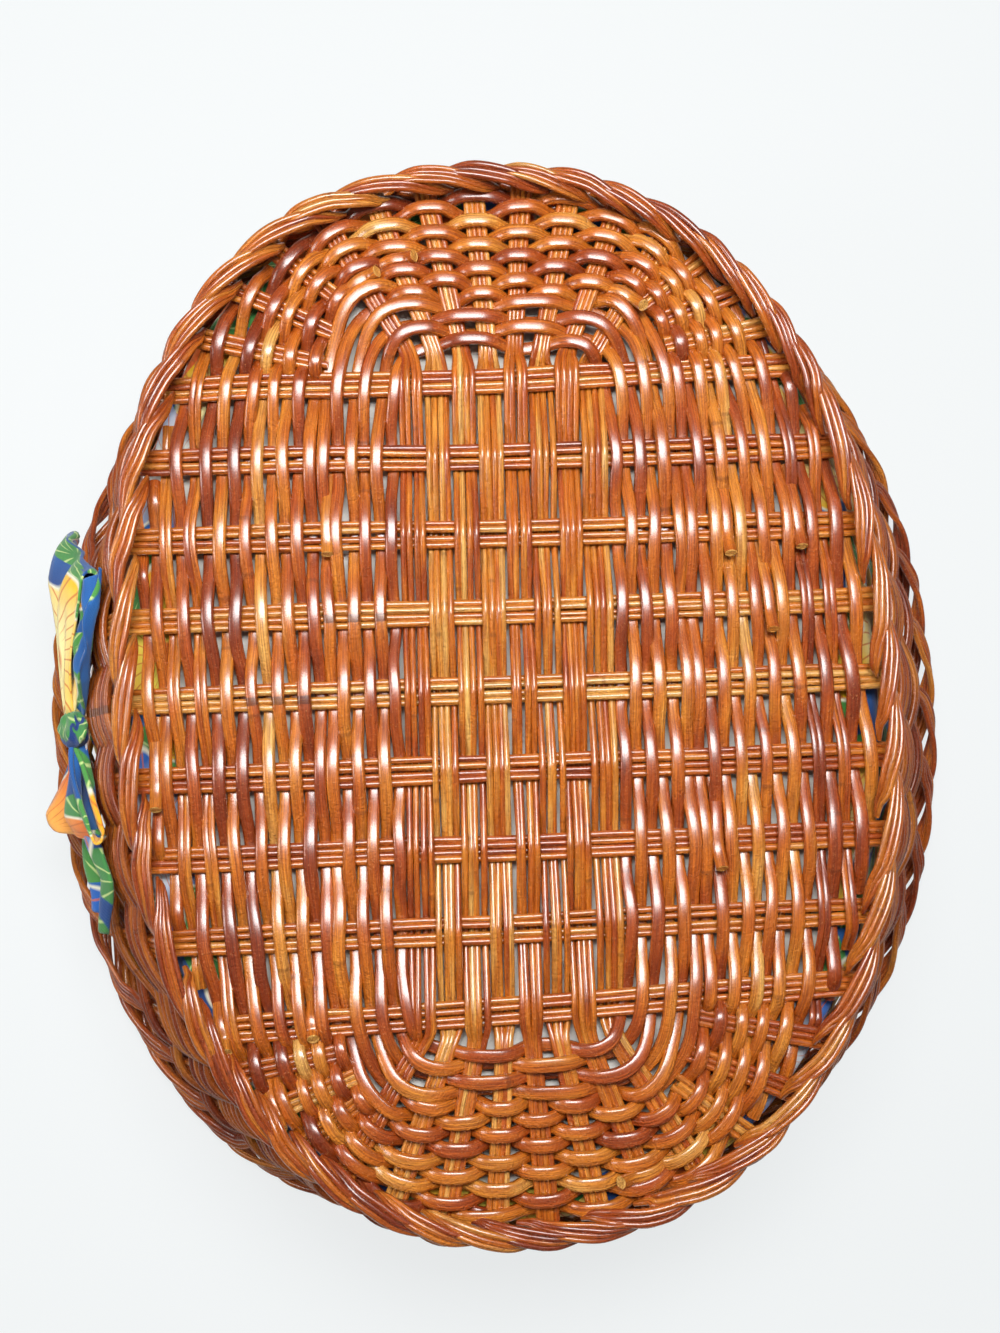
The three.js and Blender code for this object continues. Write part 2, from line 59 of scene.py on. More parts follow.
# %% The foot and rim lines
FOOT = (96.0, 133.0, 2.23)
RIM = (127.5, 149.0, 2.13)


def level(oval, point):
    a, b, n = oval
    return np.abs(point[..., 0] / a) ** n + np.abs(point[..., 1] / b) ** n


def on_oval(oval, direction):
    return direction * (level(oval, direction) ** (-1 / oval[2]))[..., None]


def oval_x(oval, y):
    a, b, n = oval
    return a * (1 - np.abs(y / b) ** n) ** (1 / n)


def oval_y(oval, x):
    a, b, n = oval
    return b * (1 - np.abs(x / a) ** n) ** (1 / n)


def unit(vectors):
    return vectors / np.linalg.norm(vectors, axis=-1, keepdims=True)


def oval_normal(oval, point):
    a, b, n = oval
    x = np.sign(point[..., 0]) * np.abs(point[..., 0] / a) ** (n - 1) / a
    y = np.sign(point[..., 1]) * np.abs(point[..., 1] / b) ** (n - 1) / b
    return unit(np.stack([x, y], -1))


def quarter_turn(plan):
    return np.stack([-plan[..., 1], plan[..., 0]], -1)


def rotated(plan, angle):
    c, s = math.cos(angle), math.sin(angle)
    return np.stack([c * plan[..., 0] - s * plan[..., 1], s * plan[..., 0] + c * plan[..., 1]], -1)


def polar(angle):
    return np.stack([np.cos(angle), np.sin(angle)], -1)


def angle_of(plan):
    return np.arctan2(plan[..., 1], plan[..., 0]) % (2 * np.pi)


def length_along(line):
    """The length of a line of points up to each of its points."""
    return np.concatenate([[0], np.cumsum(np.linalg.norm(np.diff(line, axis=0), axis=1))])


class Ruler:
    """Measures arc length round an oval, as a share of the whole way round."""

    MARKS = 1441

    def __init__(self, oval):
        self.oval = oval
        self.angles = np.linspace(0, 2 * np.pi, self.MARKS)
        lengths = length_along(on_oval(oval, polar(self.angles)))
        self.total = lengths[-1]
        self.shares = lengths / self.total

    def share_at(self, angle):
        return np.interp(angle % (2 * np.pi), self.angles, self.shares)

    def point_at(self, share):
        return on_oval(self.oval, polar(np.interp(share % 1, self.shares, self.angles)))


FOOT_BULGES = ((60, 13, 3.0), (36, 15, 1.8), (-90, 18, 1.4))
RIM_BULGES = ((32, 13, -4.2), (12, 9, 1.2), (-55, 11, 3.0))
LEAVES_FOOT, LEAVES_OVER = 14, 48


def bulge_at(angle, bulges):
    """How far out, in mm, a line is pushed; each bulge has a middle and a spread in degrees, and a size."""
    away = [((angle - middle + 180) % 360 - 180) / width for middle, width, _ in bulges]
    return sum(size * np.exp(-0.5 * off ** 2) for off, (_, _, size) in zip(away, bulges))


def hand_shaped(points):
    """Moves points in mm out or in, where this basket's foot and rim leave the true ovals.

    From one height on, and over a stretch of the wall, the foot's shape gives way to the rim's."""
    plan, angle = points[:, :2], np.degrees(np.arctan2(points[:, 1], points[:, 0]))
    risen = np.clip((points[:, 2] - LEAVES_FOOT) / LEAVES_OVER, 0, 1)
    out = np.clip(level(FOOT, plan), 0, 1.2) ** (2 / FOOT[2])
    push = bulge_at(angle, FOOT_BULGES) * out * (1 - risen) + bulge_at(angle, RIM_BULGES) * risen
    moved = points.copy()
    moved[:, :2] += plan / np.maximum(np.linalg.norm(plan, axis=1), 1)[:, None] * push[:, None]
    return moved


foot_ruler, rim_ruler = Ruler(FOOT), Ruler(RIM)
print("foot line", round(foot_ruler.total), "mm, rim line", round(rim_ruler.total), "mm")

# %% [markdown]
# ## The stakes' layout
# Nine cross stakes and eight lengthwise stakes make the mat in the middle of the base. Three
# short stakes fill each corner, where the fan would leave wide gaps. The maker's mat never lies
# quite true in its oval, and here it is turned by a few degrees, as in the photograph. Every end
# has a place on the foot and a place on the rim, and the wall stake runs straight between them.

# %% Where the stakes start, and where they meet the foot
WEAVE_TURN = math.radians(2.6)
CROSS_STAKES, CROSS_PITCH, CROSS_WIDTH, LAST_CROSS = 9, 20.2, 7.6, 80.8
CROSS_SLANT, LAST_CROSS_SLANT = 0.014, 0.045
LONG_STAKES, LONG_PITCH, LONG_WIDTH, FAN_WIDTH, FAN_END_PITCH = 8, 6.75, 6.3, 4.0, 12.8
FOOT_WIDTH, WALL_WIDTH = 5.7, 6.0
BUNDLE_GAP, FAN_SETBACK = 0.35, 2.1
FAN_START = LAST_CROSS + CROSS_WIDTH / 2 + BUNDLE_GAP + FAN_SETBACK
ROW_SIDE_PITCH, ROW_END_PITCH, ROW_START_X, ROW_START_Y = 3.27, 3.2, 27.4, 89.1
FIRST_ROW_POWER, LAST_ROW_POWER = 8, 3.3
ROUND_ROWS, SIDE_ROWS = 12, 8
WALL_STEP_OUT = 5


def row_oval(row):
    """The oval of a row in the base; the first rows are the squarest."""
    power = FIRST_ROW_POWER + (LAST_ROW_POWER - FIRST_ROW_POWER) * min(row / ROUND_ROWS, 1)
    return ROW_START_X + row * ROW_SIDE_PITCH, ROW_START_Y + row * ROW_END_PITCH, power


def crossing(oval, start, foot, turn=0.0, halvings=40):
    """How far along start to foot the oval is crossed, or nan where it isn't."""
    start, foot = rotated(start, -turn), rotated(foot, -turn)
    inner, outer = np.zeros(len(start)), np.ones(len(start))
    for _ in range(halvings):
        middle = (inner + outer) / 2
        inside = level(oval, start + (foot - start) * middle[:, None]) < 1
        inner, outer = np.where(inside, middle, inner), np.where(inside, outer, middle)
    missed = (level(oval, start) > 1) | (level(oval, foot) < 1)
    return np.where(missed, np.nan, inner)


def cross_y(index, x):
    """Where a cross stake lies at x; the first and the last one lie more aslant than the others."""
    middle = (CROSS_STAKES - 1) / 2
    slant = CROSS_SLANT + LAST_CROSS_SLANT * ((index - middle) / middle) ** 4
    return (index - middle) * CROSS_PITCH - x * slant


def long_x(index, pitch):
    return (index - (LONG_STAKES - 1) / 2) * pitch


# each stake end: its kind, number and side, where it starts and where it meets the foot
stakes = []
NEAR_FOOT = 90
for index in range(CROSS_STAKES):
    for side in (1, -1):
        x = side * oval_x(FOOT, cross_y(index, side * NEAR_FOOT))
        stakes.append(("cross", index, side, (0, cross_y(index, 0)), (x, cross_y(index, x))))
for index in range(LONG_STAKES):
    x = long_x(index, FAN_END_PITCH)
    for side in (1, -1):
        start = (long_x(index, LONG_PITCH), side * FAN_START)
        stakes.append(("long", index, side, start, (x, side * oval_y(FOOT, x))))

# three corner stakes share each gap between the last cross stake and the outermost lengthwise one,
# and start on the oval of a middle row
CORNER_STAKES, CORNER_ROW, CORNER_X = 3, 6, 50
corner_oval = row_oval(CORNER_ROW)
long_start, long_foot = (np.array(stakes[-2][part]) for part in (3, 4))
long_share = crossing(corner_oval, long_start[None], long_foot[None])[0]
for corner, (flip_x, flip_y) in enumerate(((1, 1), (-1, 1), (-1, -1), (1, -1))):
    last = CROSS_STAKES - 1 if flip_y > 0 else 0
    flip = np.array([flip_x, flip_y])
    cross_foot = np.array([s[4] for s in stakes if s[:3] == ("cross", last, flip_x)][0]) * flip
    corner_y = flip_y * cross_y(last, flip_x * CORNER_X) + (CROSS_WIDTH + FAN_WIDTH) / 2 + BUNDLE_GAP
    inner_angles = [angle_of(np.array([oval_x(corner_oval, corner_y), corner_y])),
                    angle_of(long_start + (long_foot - long_start) * long_share)]
    foot_shares = [foot_ruler.share_at(angle_of(p)) for p in (cross_foot, long_foot)]
    for index in range(CORNER_STAKES):
        foot = foot_ruler.point_at(np.interp((index + 1) / (CORNER_STAKES + 1), [0, 1], foot_shares))
        start = on_oval(corner_oval, polar(np.interp(index / CORNER_STAKES, [0, 1], inner_angles)))
        stakes.append(("corner", corner * CORNER_STAKES + index, 1, start * flip, foot * flip))

# %% The stakes in order round the foot
starts = rotated(np.array([s[3] for s in stakes], float), WEAVE_TURN)
feet = on_oval(FOOT, rotated(np.array([s[4] for s in stakes], float), WEAVE_TURN))
order = np.argsort(angle_of(feet))
stakes = [stakes[i] for i in order]
starts, feet = starts[order], feet[order]
directions = unit(feet - starts)
own_shares = foot_ruler.share_at(angle_of(feet))
even_shares = np.arange(len(stakes)) / len(stakes) + foot_ruler.share_at(np.array(WEAVE_TURN))
rim_shares = (own_shares + even_shares) / 2
rim_points = rim_ruler.point_at(rim_shares)
foot_normals = oval_normal(FOOT, feet)
outwards = unit(foot_normals + oval_normal(RIM, rim_points))
alongs = quarter_turn(outwards)
wall_feet = feet + foot_normals * WALL_STEP_OUT
print(len(stakes), "stake ends,", round(360 * np.diff(own_shares).min()), "to",
      round(360 * np.diff(own_shares).max()), "degrees of the foot apart")

# %% [markdown]
# ## A cane
# A cane is a long round stick, so a poly curve with a round bevel is the natural tool: its points
# are the route, its radius swells where the cane swells, and Blender caps the ends. The curve is
# then made a mesh, because the shader needs to know the way along each cane and round it. That
# goes into an attribute: along, and the two directions across. A second one holds a tone for
# each cane, since no two canes take the varnish alike.

# %% Make canes from their routes
CANE_SIDES, SQUARENESS, CANE_STEP = 12, 0.22, 1.6
PATTERN_RUN, CUT_TONE = 20, 0.5


def cane(points, radius, tone, closed=False):
    return {"points": points, "radius": np.broadcast_to(radius, len(points)), "tone": tone, "closed": closed}


def placed(name, mesh, material, node):
    """Puts a mesh into the scene as a piece of the basket, in place of its CAD node."""
    mesh.shade_smooth()
    mesh.materials.append(material)
    piece = bpy.data.objects.new(name, mesh)
    bpy.context.scene.collection.objects.link(piece)
    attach(piece, "root")
    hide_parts(node)
    return piece


def make_canes(name, canes, material, node, flat=1.0):
    """Makes one mesh of the canes.

    Flat below 1 presses each round section down in height and squares it a little. The mesh holds
    the caps first and then the canes, and a cap takes its values from the nearest point of a cane."""
    curve = bpy.data.curves.new(name, "CURVE")
    curve.dimensions = "3D"
    curve.bevel_depth, curve.bevel_resolution, curve.use_fill_caps = 0.001, CANE_SIDES // 2 - 2, True
    places, tones, middles, radii = [], [], [], []
    for item in canes:
        points, radius = hand_shaped(item["points"]) / 1000, item["radius"]
        middles.append(np.repeat(points[:, 2], CANE_SIDES))
        radii.append(np.repeat(radius / 1000, CANE_SIDES))
        spline = curve.splines.new("POLY")
        spline.points.add(len(points) - 1)
        spline.points.foreach_set("co", np.column_stack([points, np.ones(len(points))]).ravel())
        spline.points.foreach_set("radius", radius)
        spline.use_cyclic_u = item["closed"]
        turn = np.arange(CANE_SIDES) / CANE_SIDES * 2 * np.pi
        place = np.zeros((len(points), CANE_SIDES, 3))
        place[..., 0] = (length_along(points) + chance.random() * PATTERN_RUN)[:, None]
        place[..., 1:] = polar(turn) * radius[:, None, None] / 1000
        places.append(place.reshape(-1, 3))
        tones.append(np.full(len(points) * CANE_SIDES, item["tone"]))
    carrier = bpy.data.objects.new(name + "_route", curve)
    bpy.context.scene.collection.objects.link(carrier)
    mesh = bpy.data.meshes.new_from_object(carrier.evaluated_get(bpy.context.evaluated_depsgraph_get()))
    bpy.data.objects.remove(carrier)
    places, tones, middles, radii = (np.concatenate(part) for part in (places, tones, middles, radii))
    corners = np.zeros(len(mesh.vertices) * 3)
    mesh.vertices.foreach_get("co", corners)
    corners = corners.reshape(-1, 3)
    caps = len(corners) - len(places)
    nearby = KDTree(len(places))
    for index, corner in enumerate(corners[caps:]):
        nearby.insert(corner, index)
    nearby.balance()
    under_cap = [nearby.find(corner)[1] for corner in corners[:caps]]
    places, tones, middles, radii = (np.concatenate([part[under_cap], part])
                                     for part in (places, tones, middles, radii))
    tones[:caps] += CUT_TONE
    height = (corners[:, 2] - middles) / radii
    if flat < 1:
        corners[:, 2] = middles + np.sign(height) * np.abs(height) ** SQUARENESS * radii * flat
    mesh.vertices.foreach_set("co", corners.ravel())
    mesh.attributes.new("cane_place", "FLOAT_VECTOR", "POINT").data.foreach_set("vector", places.ravel())
    mesh.attributes.new("cane_tone", "FLOAT", "POINT").data.foreach_set("value", tones)
    placed(name, mesh, material, node)


def curved(p0, p1, p2, p3, part):
    """A place on the smooth line through four points, part of the way from the second to the third."""
    return 0.5 * (2 * p1 + (p2 - p0) * part + (2 * p0 - 5 * p1 + 4 * p2 - p3) * part ** 2
                  + (3 * p1 - p0 - 3 * p2 + p3) * part ** 3)


def smooth_route(points, step=CANE_STEP):
    """A smooth line through the points, with a point about every step millimetres."""
    points = np.asarray(points, float)
    padded = np.vstack([2 * points[0] - points[1], points, 2 * points[-1] - points[-2]])
    route = []
    for i in range(len(points) - 1):
        count = max(2, int(np.ceil(np.linalg.norm(points[i + 1] - points[i]) / step)))
        route.append(curved(*padded[i: i + 4], (np.arange(count) / count)[:, None]))
    return np.vstack([*route, points[-1:]])


def wander(share, size, waves=(2, 3, 5, 9, 14)):
    """A smooth random wobble along a line, which closes on itself where share goes from 0 to 1."""
    total = np.zeros_like(share)
    for wave in waves:
        total += np.sin(2 * np.pi * (wave * share + chance.random())) * chance.normal() / len(waves) ** 0.5
    return total * size


print("a cane has", CANE_SIDES, "sides")

# %% [markdown]
# ## Varnished cane
# Rattan core is pale wood under a thick reddish varnish. Close up it shows long dark fibres, a
# slow change of colour along the cane, a ring with a darker line at each leaf joint, and varnish
# that dried lumpy, so that its highlights break up. All of this is one node group that reads the
# way along and round the cane. Every cane material uses it, with tones of its own, and some
# multiply its colour by a darker one: painted shade on the wall and rim, and on the foot border
# partly a browner tone and partly painted shade.

# %% Node helpers
def srgb(red, green, blue):
    values = [v / 255 for v in (red, green, blue)]
    return tuple(v / 12.92 if v <= 0.04045 else ((v + 0.055) / 1.055) ** 2.4 for v in values) + (1.0,)


def set_inputs(tree, node, inputs):
    """Links each input to a socket, or gives it a value."""
    for key, value in inputs.items():
        if isinstance(value, bpy.types.NodeSocket):
            tree.links.new(value, node.inputs[key])
        else:
            node.inputs[key].default_value = value


def add_node(tree, kind, inputs=None, **settings):
    made = tree.nodes.new(kind)
    for key, value in settings.items():
        setattr(made, key, value)
    set_inputs(tree, made, inputs or {})
    return made


def math_node(tree, operation, *values):
    return add_node(tree, "ShaderNodeMath", dict(enumerate(values)), operation=operation).outputs[0]


def summed(tree, total, *others):
    for other in others:
        total = math_node(tree, "ADD", total, other)
    return total


def vector_node(tree, operation, *values):
    return add_node(tree, "ShaderNodeVectorMath", dict(enumerate(values)), operation=operation).outputs[0]


def scaled(tree, vector, scale):
    return add_node(tree, "ShaderNodeVectorMath", {0: vector, "Scale": scale}, operation="SCALE").outputs[0]


def parts_of(tree, vector):
    return add_node(tree, "ShaderNodeSeparateXYZ", {0: vector}).outputs


def mix_colour(tree, share, first, second, blend="MIX"):
    made = add_node(tree, "ShaderNodeMix", {0: share, 6: first, 7: second}, data_type="RGBA",
                    blend_type=blend)
    return made.outputs[2]


def spread(tree, value, low, high, to_low=0.0, to_high=1.0):
    """Stretches the values from low to high over to_low to to_high, and stops there."""
    return add_node(tree, "ShaderNodeMapRange", {0: value, 1: low, 2: high, 3: to_low, 4: to_high}).outputs[0]


def noise(tree, vector, scale, detail=2.0, roughness=0.5):
    return add_node(tree, "ShaderNodeTexNoise", {"Vector": vector, "Scale": scale, "Detail": detail,
                                                 "Roughness": roughness}).outputs["Fac"]


def stretched_noise(tree, vector, stretch, detail=2.0, roughness=0.5):
    return noise(tree, vector_node(tree, "MULTIPLY", vector, stretch), 1.0, detail, roughness)


def bumps(tree, height, distance):
    return add_node(tree, "ShaderNodeBump", {"Height": height, "Distance": distance}).outputs["Normal"]


def colour_ramp(tree, value, stops):
    made = add_node(tree, "ShaderNodeValToRGB", {0: value})
    ramp = made.color_ramp
    while len(ramp.elements) < len(stops):
        ramp.elements.new(0.5)
    for element, (place, colour) in zip(ramp.elements, stops):
        element.position, element.color = place, colour
    return made.outputs[0]


def new_group(name, inputs, outputs):
    group = bpy.data.node_groups.new(name, "ShaderNodeTree")
    for label, kind, value in inputs:
        socket = group.interface.new_socket(label, in_out="INPUT", socket_type=kind)
        if value is not None:
            socket.default_value = value
    for label, kind in outputs:
        group.interface.new_socket(label, in_out="OUTPUT", socket_type=kind)
    return group, group.nodes.new("NodeGroupInput").outputs, group.nodes.new("NodeGroupOutput")


def new_material(name):
    material = bpy.data.materials.new(name)
    material.use_nodes = True
    return material, material.node_tree


WHITE = (1, 1, 1, 1)


# %% The cane finish as a node group
FLOAT, COLOUR, VECTOR = "NodeSocketFloat", "NodeSocketColor", "NodeSocketVector"
TONE_APART, JOINT_PITCH, JOINT_AT = 370.0, 170.0, 163.0
cane_group, given, result = new_group(
    "varnished_cane",
    [("Place", VECTOR, None), ("Tone", FLOAT, 0.5), ("Warmth", FLOAT, 0.0), ("Shade", COLOUR, WHITE)],
    [("Color", COLOUR), ("Roughness", FLOAT), ("Height", FLOAT)])
tree = cane_group
apart = add_node(tree, "ShaderNodeCombineXYZ", {0: math_node(tree, "MULTIPLY", given["Tone"], TONE_APART)})
in_mm = vector_node(tree, "ADD", scaled(tree, given["Place"], 1000), apart.outputs[0])
fibres = stretched_noise(tree, in_mm, (0.07, 3.2, 3.2), 3.0, 0.6)
ridges = stretched_noise(tree, in_mm, (0.12, 1.3, 1.3))
hairs = stretched_noise(tree, in_mm, (0.22, 9.0, 9.0))
drift = stretched_noise(tree, in_mm, (0.045, 0.12, 0.12))
lumps = noise(tree, in_mm, 1.1, 3.0, 0.55)
grains = noise(tree, in_mm, 2.0)
warm = summed(tree, given["Tone"], given["Warmth"], spread(tree, drift, 0.28, 0.72, -0.32, 0.32))
base = colour_ramp(tree, warm, [
    (0.0, srgb(142, 58, 24)), (0.25, srgb(182, 86, 30)), (0.5, srgb(212, 122, 36)),
    (0.75, srgb(228, 154, 62)), (1.0, srgb(240, 196, 120))])
streaked = mix_colour(tree, spread(tree, fibres, 0.4, 0.62), srgb(128, 70, 40), WHITE)
base = mix_colour(tree, 0.55, base, streaked, "MULTIPLY")
joint_way = summed(tree, parts_of(tree, in_mm)[0], spread(tree, lumps, 0.0, 1.0, -0.5, 0.5))
joint = math_node(tree, "PINGPONG", joint_way, JOINT_PITCH)
joint = math_node(tree, "ABSOLUTE", math_node(tree, "SUBTRACT", joint, JOINT_AT))
for pattern, limits, colour in (
        (ridges, (0.3, 0.46, 0.4, 0.0), srgb(112, 44, 14)), (hairs, (0.58, 0.7, 0.0, 0.5), srgb(96, 44, 20)),
        (grains, (0.62, 0.75, 0.0, 0.3), srgb(240, 190, 140)),
        (joint, (0.25, 0.7, 0.4, 0.0), srgb(92, 44, 24))):
    base = mix_colour(tree, spread(tree, pattern, *limits), base, colour)
# Shade multiplies the colour: on the wall and rim it is painted shade, on the foot border partly a browner
# tone and partly painted shade.
base = mix_colour(tree, 1.0, base, given["Shade"], "MULTIPLY")
heights = [math_node(tree, "MULTIPLY", pattern, size)
           for pattern, size in ((lumps, 0.7), (fibres, 0.34), (ridges, 0.5), (grains, 0.55))]
set_inputs(tree, result, {
    "Color": base, "Roughness": spread(tree, lumps, 0.3, 0.7, 0.22, 0.44),
    "Height": summed(tree, *heights, spread(tree, joint, 0.3, 1.2, 0.2, 0.0))})
print(len(cane_group.nodes), "nodes in the cane finish")


# %% The five cane materials, some darkened with painted shade
def cane_material(name, warmth, tint_and_painted_shade, coat=1.0):
    material, tree = new_material(name)
    place = add_node(tree, "ShaderNodeAttribute", attribute_name="cane_place").outputs["Vector"]
    tone = add_node(tree, "ShaderNodeAttribute", attribute_name="cane_tone").outputs["Fac"]
    finish = add_node(tree, "ShaderNodeGroup", {
        "Place": place, "Tone": tone, "Warmth": warmth, "Shade": tint_and_painted_shade}, node_tree=cane_group).outputs
    set_inputs(tree, tree.nodes["Principled BSDF"], {
        "Base Color": finish["Color"], "Roughness": finish["Roughness"],
        "Normal": bumps(tree, finish["Height"], 0.0008), "Specular IOR Level": 0.2,
        "Coat Weight": coat, "Coat Roughness": 0.25, "Coat IOR": 1.7, "Coat Tint": (1.0, 0.86, 0.62, 1.0)})
    return material


stake_finish = cane_material("stake_cane", 0.03, WHITE)
rod_finish = cane_material("weaving_cane", -0.02, WHITE)
# The border, rim and wall materials are multiplied by a darker colour: on the rim and wall this is painted
# shade, on the foot border partly a browner tone and partly painted shade.
border_tone_and_painted_shade = cane_material("border_cane", 0.0, (0.85, 0.78, 0.74, 1))
rim_with_painted_shade = cane_material("rim_cane", -0.04, (0.92, 0.86, 0.82, 1), 0.7)
wall_with_painted_shade = cane_material("wall_cane", -0.06, (0.8, 0.72, 0.67, 1), 0.5)
print("finishes:", [m.name for m in bpy.data.materials if m.use_nodes])

# %% [markdown]
# ## Cross stakes
# Each cross stake is four thin canes side by side, in two pairs with a gap between them. They lie
# level in the mat, bend up over the foot and climb the wall, all in one length. A bundle is drawn
# as its separate canes, each with a little wander, because the dark lines between them are what
# the eye reads as a bundle.

# %% Routes up the wall, and the cross stakes
MAT_Z, WALL_START, RIM_Z, LEG_START = 9.25, 14.45, 74.0, 61.5
STAKE_RADIUS, STAKE_WANDER, BUNDLE_WIDTH, BUNDLE_SQUEEZE = 0.9, 0.04, 6.5, 0.97
BEND_OUT, BEND_RISE, SWAY = 3, 1.4, 0.12
PAIR_GAP, PAIR_GAP_VARIES = 0.26, 0.2


def up_wall_share(height):
    return (height - WALL_START) / (RIM_Z - WALL_START)


def wall_point(end, height):
    return wall_feet[end] + (rim_points[end] - wall_feet[end]) * up_wall_share(height)


def rising_points(end, offset):
    """The route of one cane from the foot up to where the rim's legs begin."""
    foot_across = quarter_turn(directions[end])
    foot_width = BUNDLE_WIDTH if stakes[end][0] == "cross" else FOOT_WIDTH
    middle_across = unit(foot_across + alongs[end])
    bend = feet[end] + foot_normals[end] * BEND_OUT
    points = [
        [*(feet[end] + foot_across * offset * foot_width), MAT_Z],
        [*(bend + middle_across * offset * (foot_width + WALL_WIDTH) / 2), MAT_Z + BEND_RISE],
        [*(wall_feet[end] + alongs[end] * offset * WALL_WIDTH), WALL_START],
    ]
    for height in (21, 29, 37, 45, 53, LEG_START):
        sway = chance.normal(0, SWAY, 2)
        plan = wall_point(end, height) + alongs[end] * (offset * WALL_WIDTH + sway[0])
        points.append([*(plan + outwards[end] * sway[1]), height])
    return points


def offsets_of(count):
    """The places of a bundle's canes across it, as shares of its width from its middle."""
    return (np.arange(count) - (count - 1) / 2) / count


def stake_cane(points, thinnest, thickest, bundle_tone, tone_varies):
    """One cane of a bundle, near the bundle's own tone."""
    route = smooth_route(points)
    swell = 1 + wander(np.linspace(0, 1, len(route)), STAKE_WANDER)
    radius = STAKE_RADIUS * swell * chance.uniform(thinnest, thickest)
    return cane(route, radius, np.clip(bundle_tone + chance.normal(0, tone_varies), 0, 1))


def make_stake(kind, index, canes):
    number = index + 1
    make_canes(f"{kind}_stake_canes_{number}", canes, stake_finish, f"{kind}_stake_{number}")


ends_of = {}
for end, (kind, index, side, *_) in enumerate(stakes):
    ends_of.setdefault((kind, index), {})[side] = end

for index in range(CROSS_STAKES):
    right, left = ends_of["cross", index][1], ends_of["cross", index][-1]
    across = quarter_turn(directions[left])
    canes = []
    bundle_tone = chance.uniform(0.3, 0.72)
    pairs_apart = PAIR_GAP + PAIR_GAP_VARIES * np.sin(2.2 * index)
    for offset in offsets_of(4):
        apart = offset * BUNDLE_WIDTH * BUNDLE_SQUEEZE + np.sign(offset) * pairs_apart
        middle = []
        for share in (0.75, 0.5, 0.25, 0, -0.25, -0.5, -0.75):
            end = right if share > 0 else left
            plan = starts[end] + (feet[end] - starts[end]) * abs(share)
            plan = plan + across * (apart + chance.normal(0, 0.13))
            middle.append([*plan, MAT_Z + chance.normal(0, 0.1)])
        points = [*rising_points(right, -offset)[::-1], *middle, *rising_points(left, offset)]
        canes.append(stake_cane(points, 0.92, 1.06, bundle_tone, 0.14))
    make_stake("cross", index, canes)
print(CROSS_STAKES, "cross stakes, each", round(len(canes[-1]["points"]) * CANE_STEP / 10), "cm of cane")

# %% [markdown]
# ## Lengthwise stakes
# The eight lengthwise stakes pass over one cross stake and under the next, and their neighbours
# do the opposite. Past the last cross stake they spread into a fan. The heights come from the
# cane's own thickness, so that the canes bear on each other and don't cut through.

# %% The lengthwise stakes and the corner stakes
LATTICE_LIFT, BESIDE_CROSSING, DRIFT_LIMIT = 1.95, 2.9, 0.45


def fanned_points(end, offset, start_share, stray):
    """The route of one cane from its start to its foot, where the bundle widens, and on up the wall."""
    points = []
    for share in (start_share, 0.35, 0.7):
        width = FAN_WIDTH + (FOOT_WIDTH - FAN_WIDTH) * max(share, 0)
        plan = starts[end] + (feet[end] - starts[end]) * share
        plan = plan + quarter_turn(directions[end]) * (offset * width + chance.normal(0, stray))
        points.append([*plan, MAT_Z + chance.normal(0, 0.12)])
    return points + rising_points(end, offset)


for index in range(LONG_STAKES):
    far, near = ends_of["long", index][1], ends_of["long", index][-1]
    canes = []
    bundle_tone = chance.uniform(0.3, 0.66)
    x = long_x(index, LONG_PITCH)
    for offset in offsets_of(4):
        middle = []
        drift = chance.normal(0, 0.15)
        for row in reversed(range(CROSS_STAKES)):
            lift = LATTICE_LIFT if (row + index) % 2 == 0 else -LATTICE_LIFT
            for step in (BESIDE_CROSSING, -BESIDE_CROSSING):
                plan = np.array([x + offset * LONG_WIDTH + drift, cross_y(row, x) + step])
                middle.append([*rotated(plan, WEAVE_TURN), MAT_Z + lift + chance.normal(0, 0.08)])
            drift = np.clip(drift + chance.normal(0, 0.14), -DRIFT_LIMIT, DRIFT_LIMIT)
        fans = [fanned_points(end, way * offset, 0.05, 0.1) for end, way in ((far, -1), (near, 1))]
        canes.append(stake_cane([*fans[0][::-1], *middle, *fans[1]], 0.9, 1.05, bundle_tone, 0.16))
    make_stake("long", index, canes)

for index in range(4 * CORNER_STAKES):
    end = ends_of["corner", index][1]
    canes = []
    bundle_tone = chance.uniform(0.3, 0.72)
    for offset in offsets_of(3):
        route = smooth_route(fanned_points(end, offset, chance.uniform(-0.05, 0.03), 0.12))
        radius = STAKE_RADIUS * chance.uniform(0.95, 1.08)
        canes.append(cane(route, radius, np.clip(bundle_tone + chance.normal(0, 0.14), 0, 1)))
    make_stake("corner", index, canes)
print(LONG_STAKES, "lengthwise stakes and", 4 * CORNER_STAKES, "corner stakes")

# %% [markdown]
# ## Weaving the base
# Single rods go round the mat, over one stake and under the next, and each row does the opposite
# of the one before. The first rows pass over the lengthwise stakes in pairs. Twelve rows go all
# the way round. Eight more on each long side stop where they meet the foot border, which is how
# a maker turns a round-ended base into a fuller oval.

# %% A rod through the stakes
LIFT, ROD_RADIUS, ROD_FLAT, SPAN_STEPS, PAIRED_ROWS = 2.2, 1.68, 0.6, 10, 4
FLATNESS, FLATTER_AT_ENDS = 0.55, 0.8
LEAN, LEAN_AT_ENDS = 0.2, 0.42
FULL_WIDTH, SLIMMER_AT_SIDES = 1.08, 0.07


def weave_profile(phase, flatness=FLATNESS):
    """Up over one stake and down under the next; more flatness lets the rod lie longer on its stake."""
    return np.tanh(flatness * np.cos(np.pi * phase)) / np.tanh(flatness)


def row_crossings(number):
    """A row's ruler and turn, and the stakes that it crosses with their places, in order round it."""
    row = number + 0.5
    turn = WEAVE_TURN * max(0, 1 - row / (ROUND_ROWS + SIDE_ROWS))
    ruler = Ruler(row_oval(row))
    share = crossing(ruler.oval, starts, feet, turn)
    hit = np.flatnonzero(~np.isnan(share))
    plan = rotated(starts[hit] + (feet[hit] - starts[hit]) * share[hit][:, None], -turn)
    places = ruler.share_at(angle_of(plan))
    order = np.argsort(places)
    return ruler, turn, hit[order], places[order]


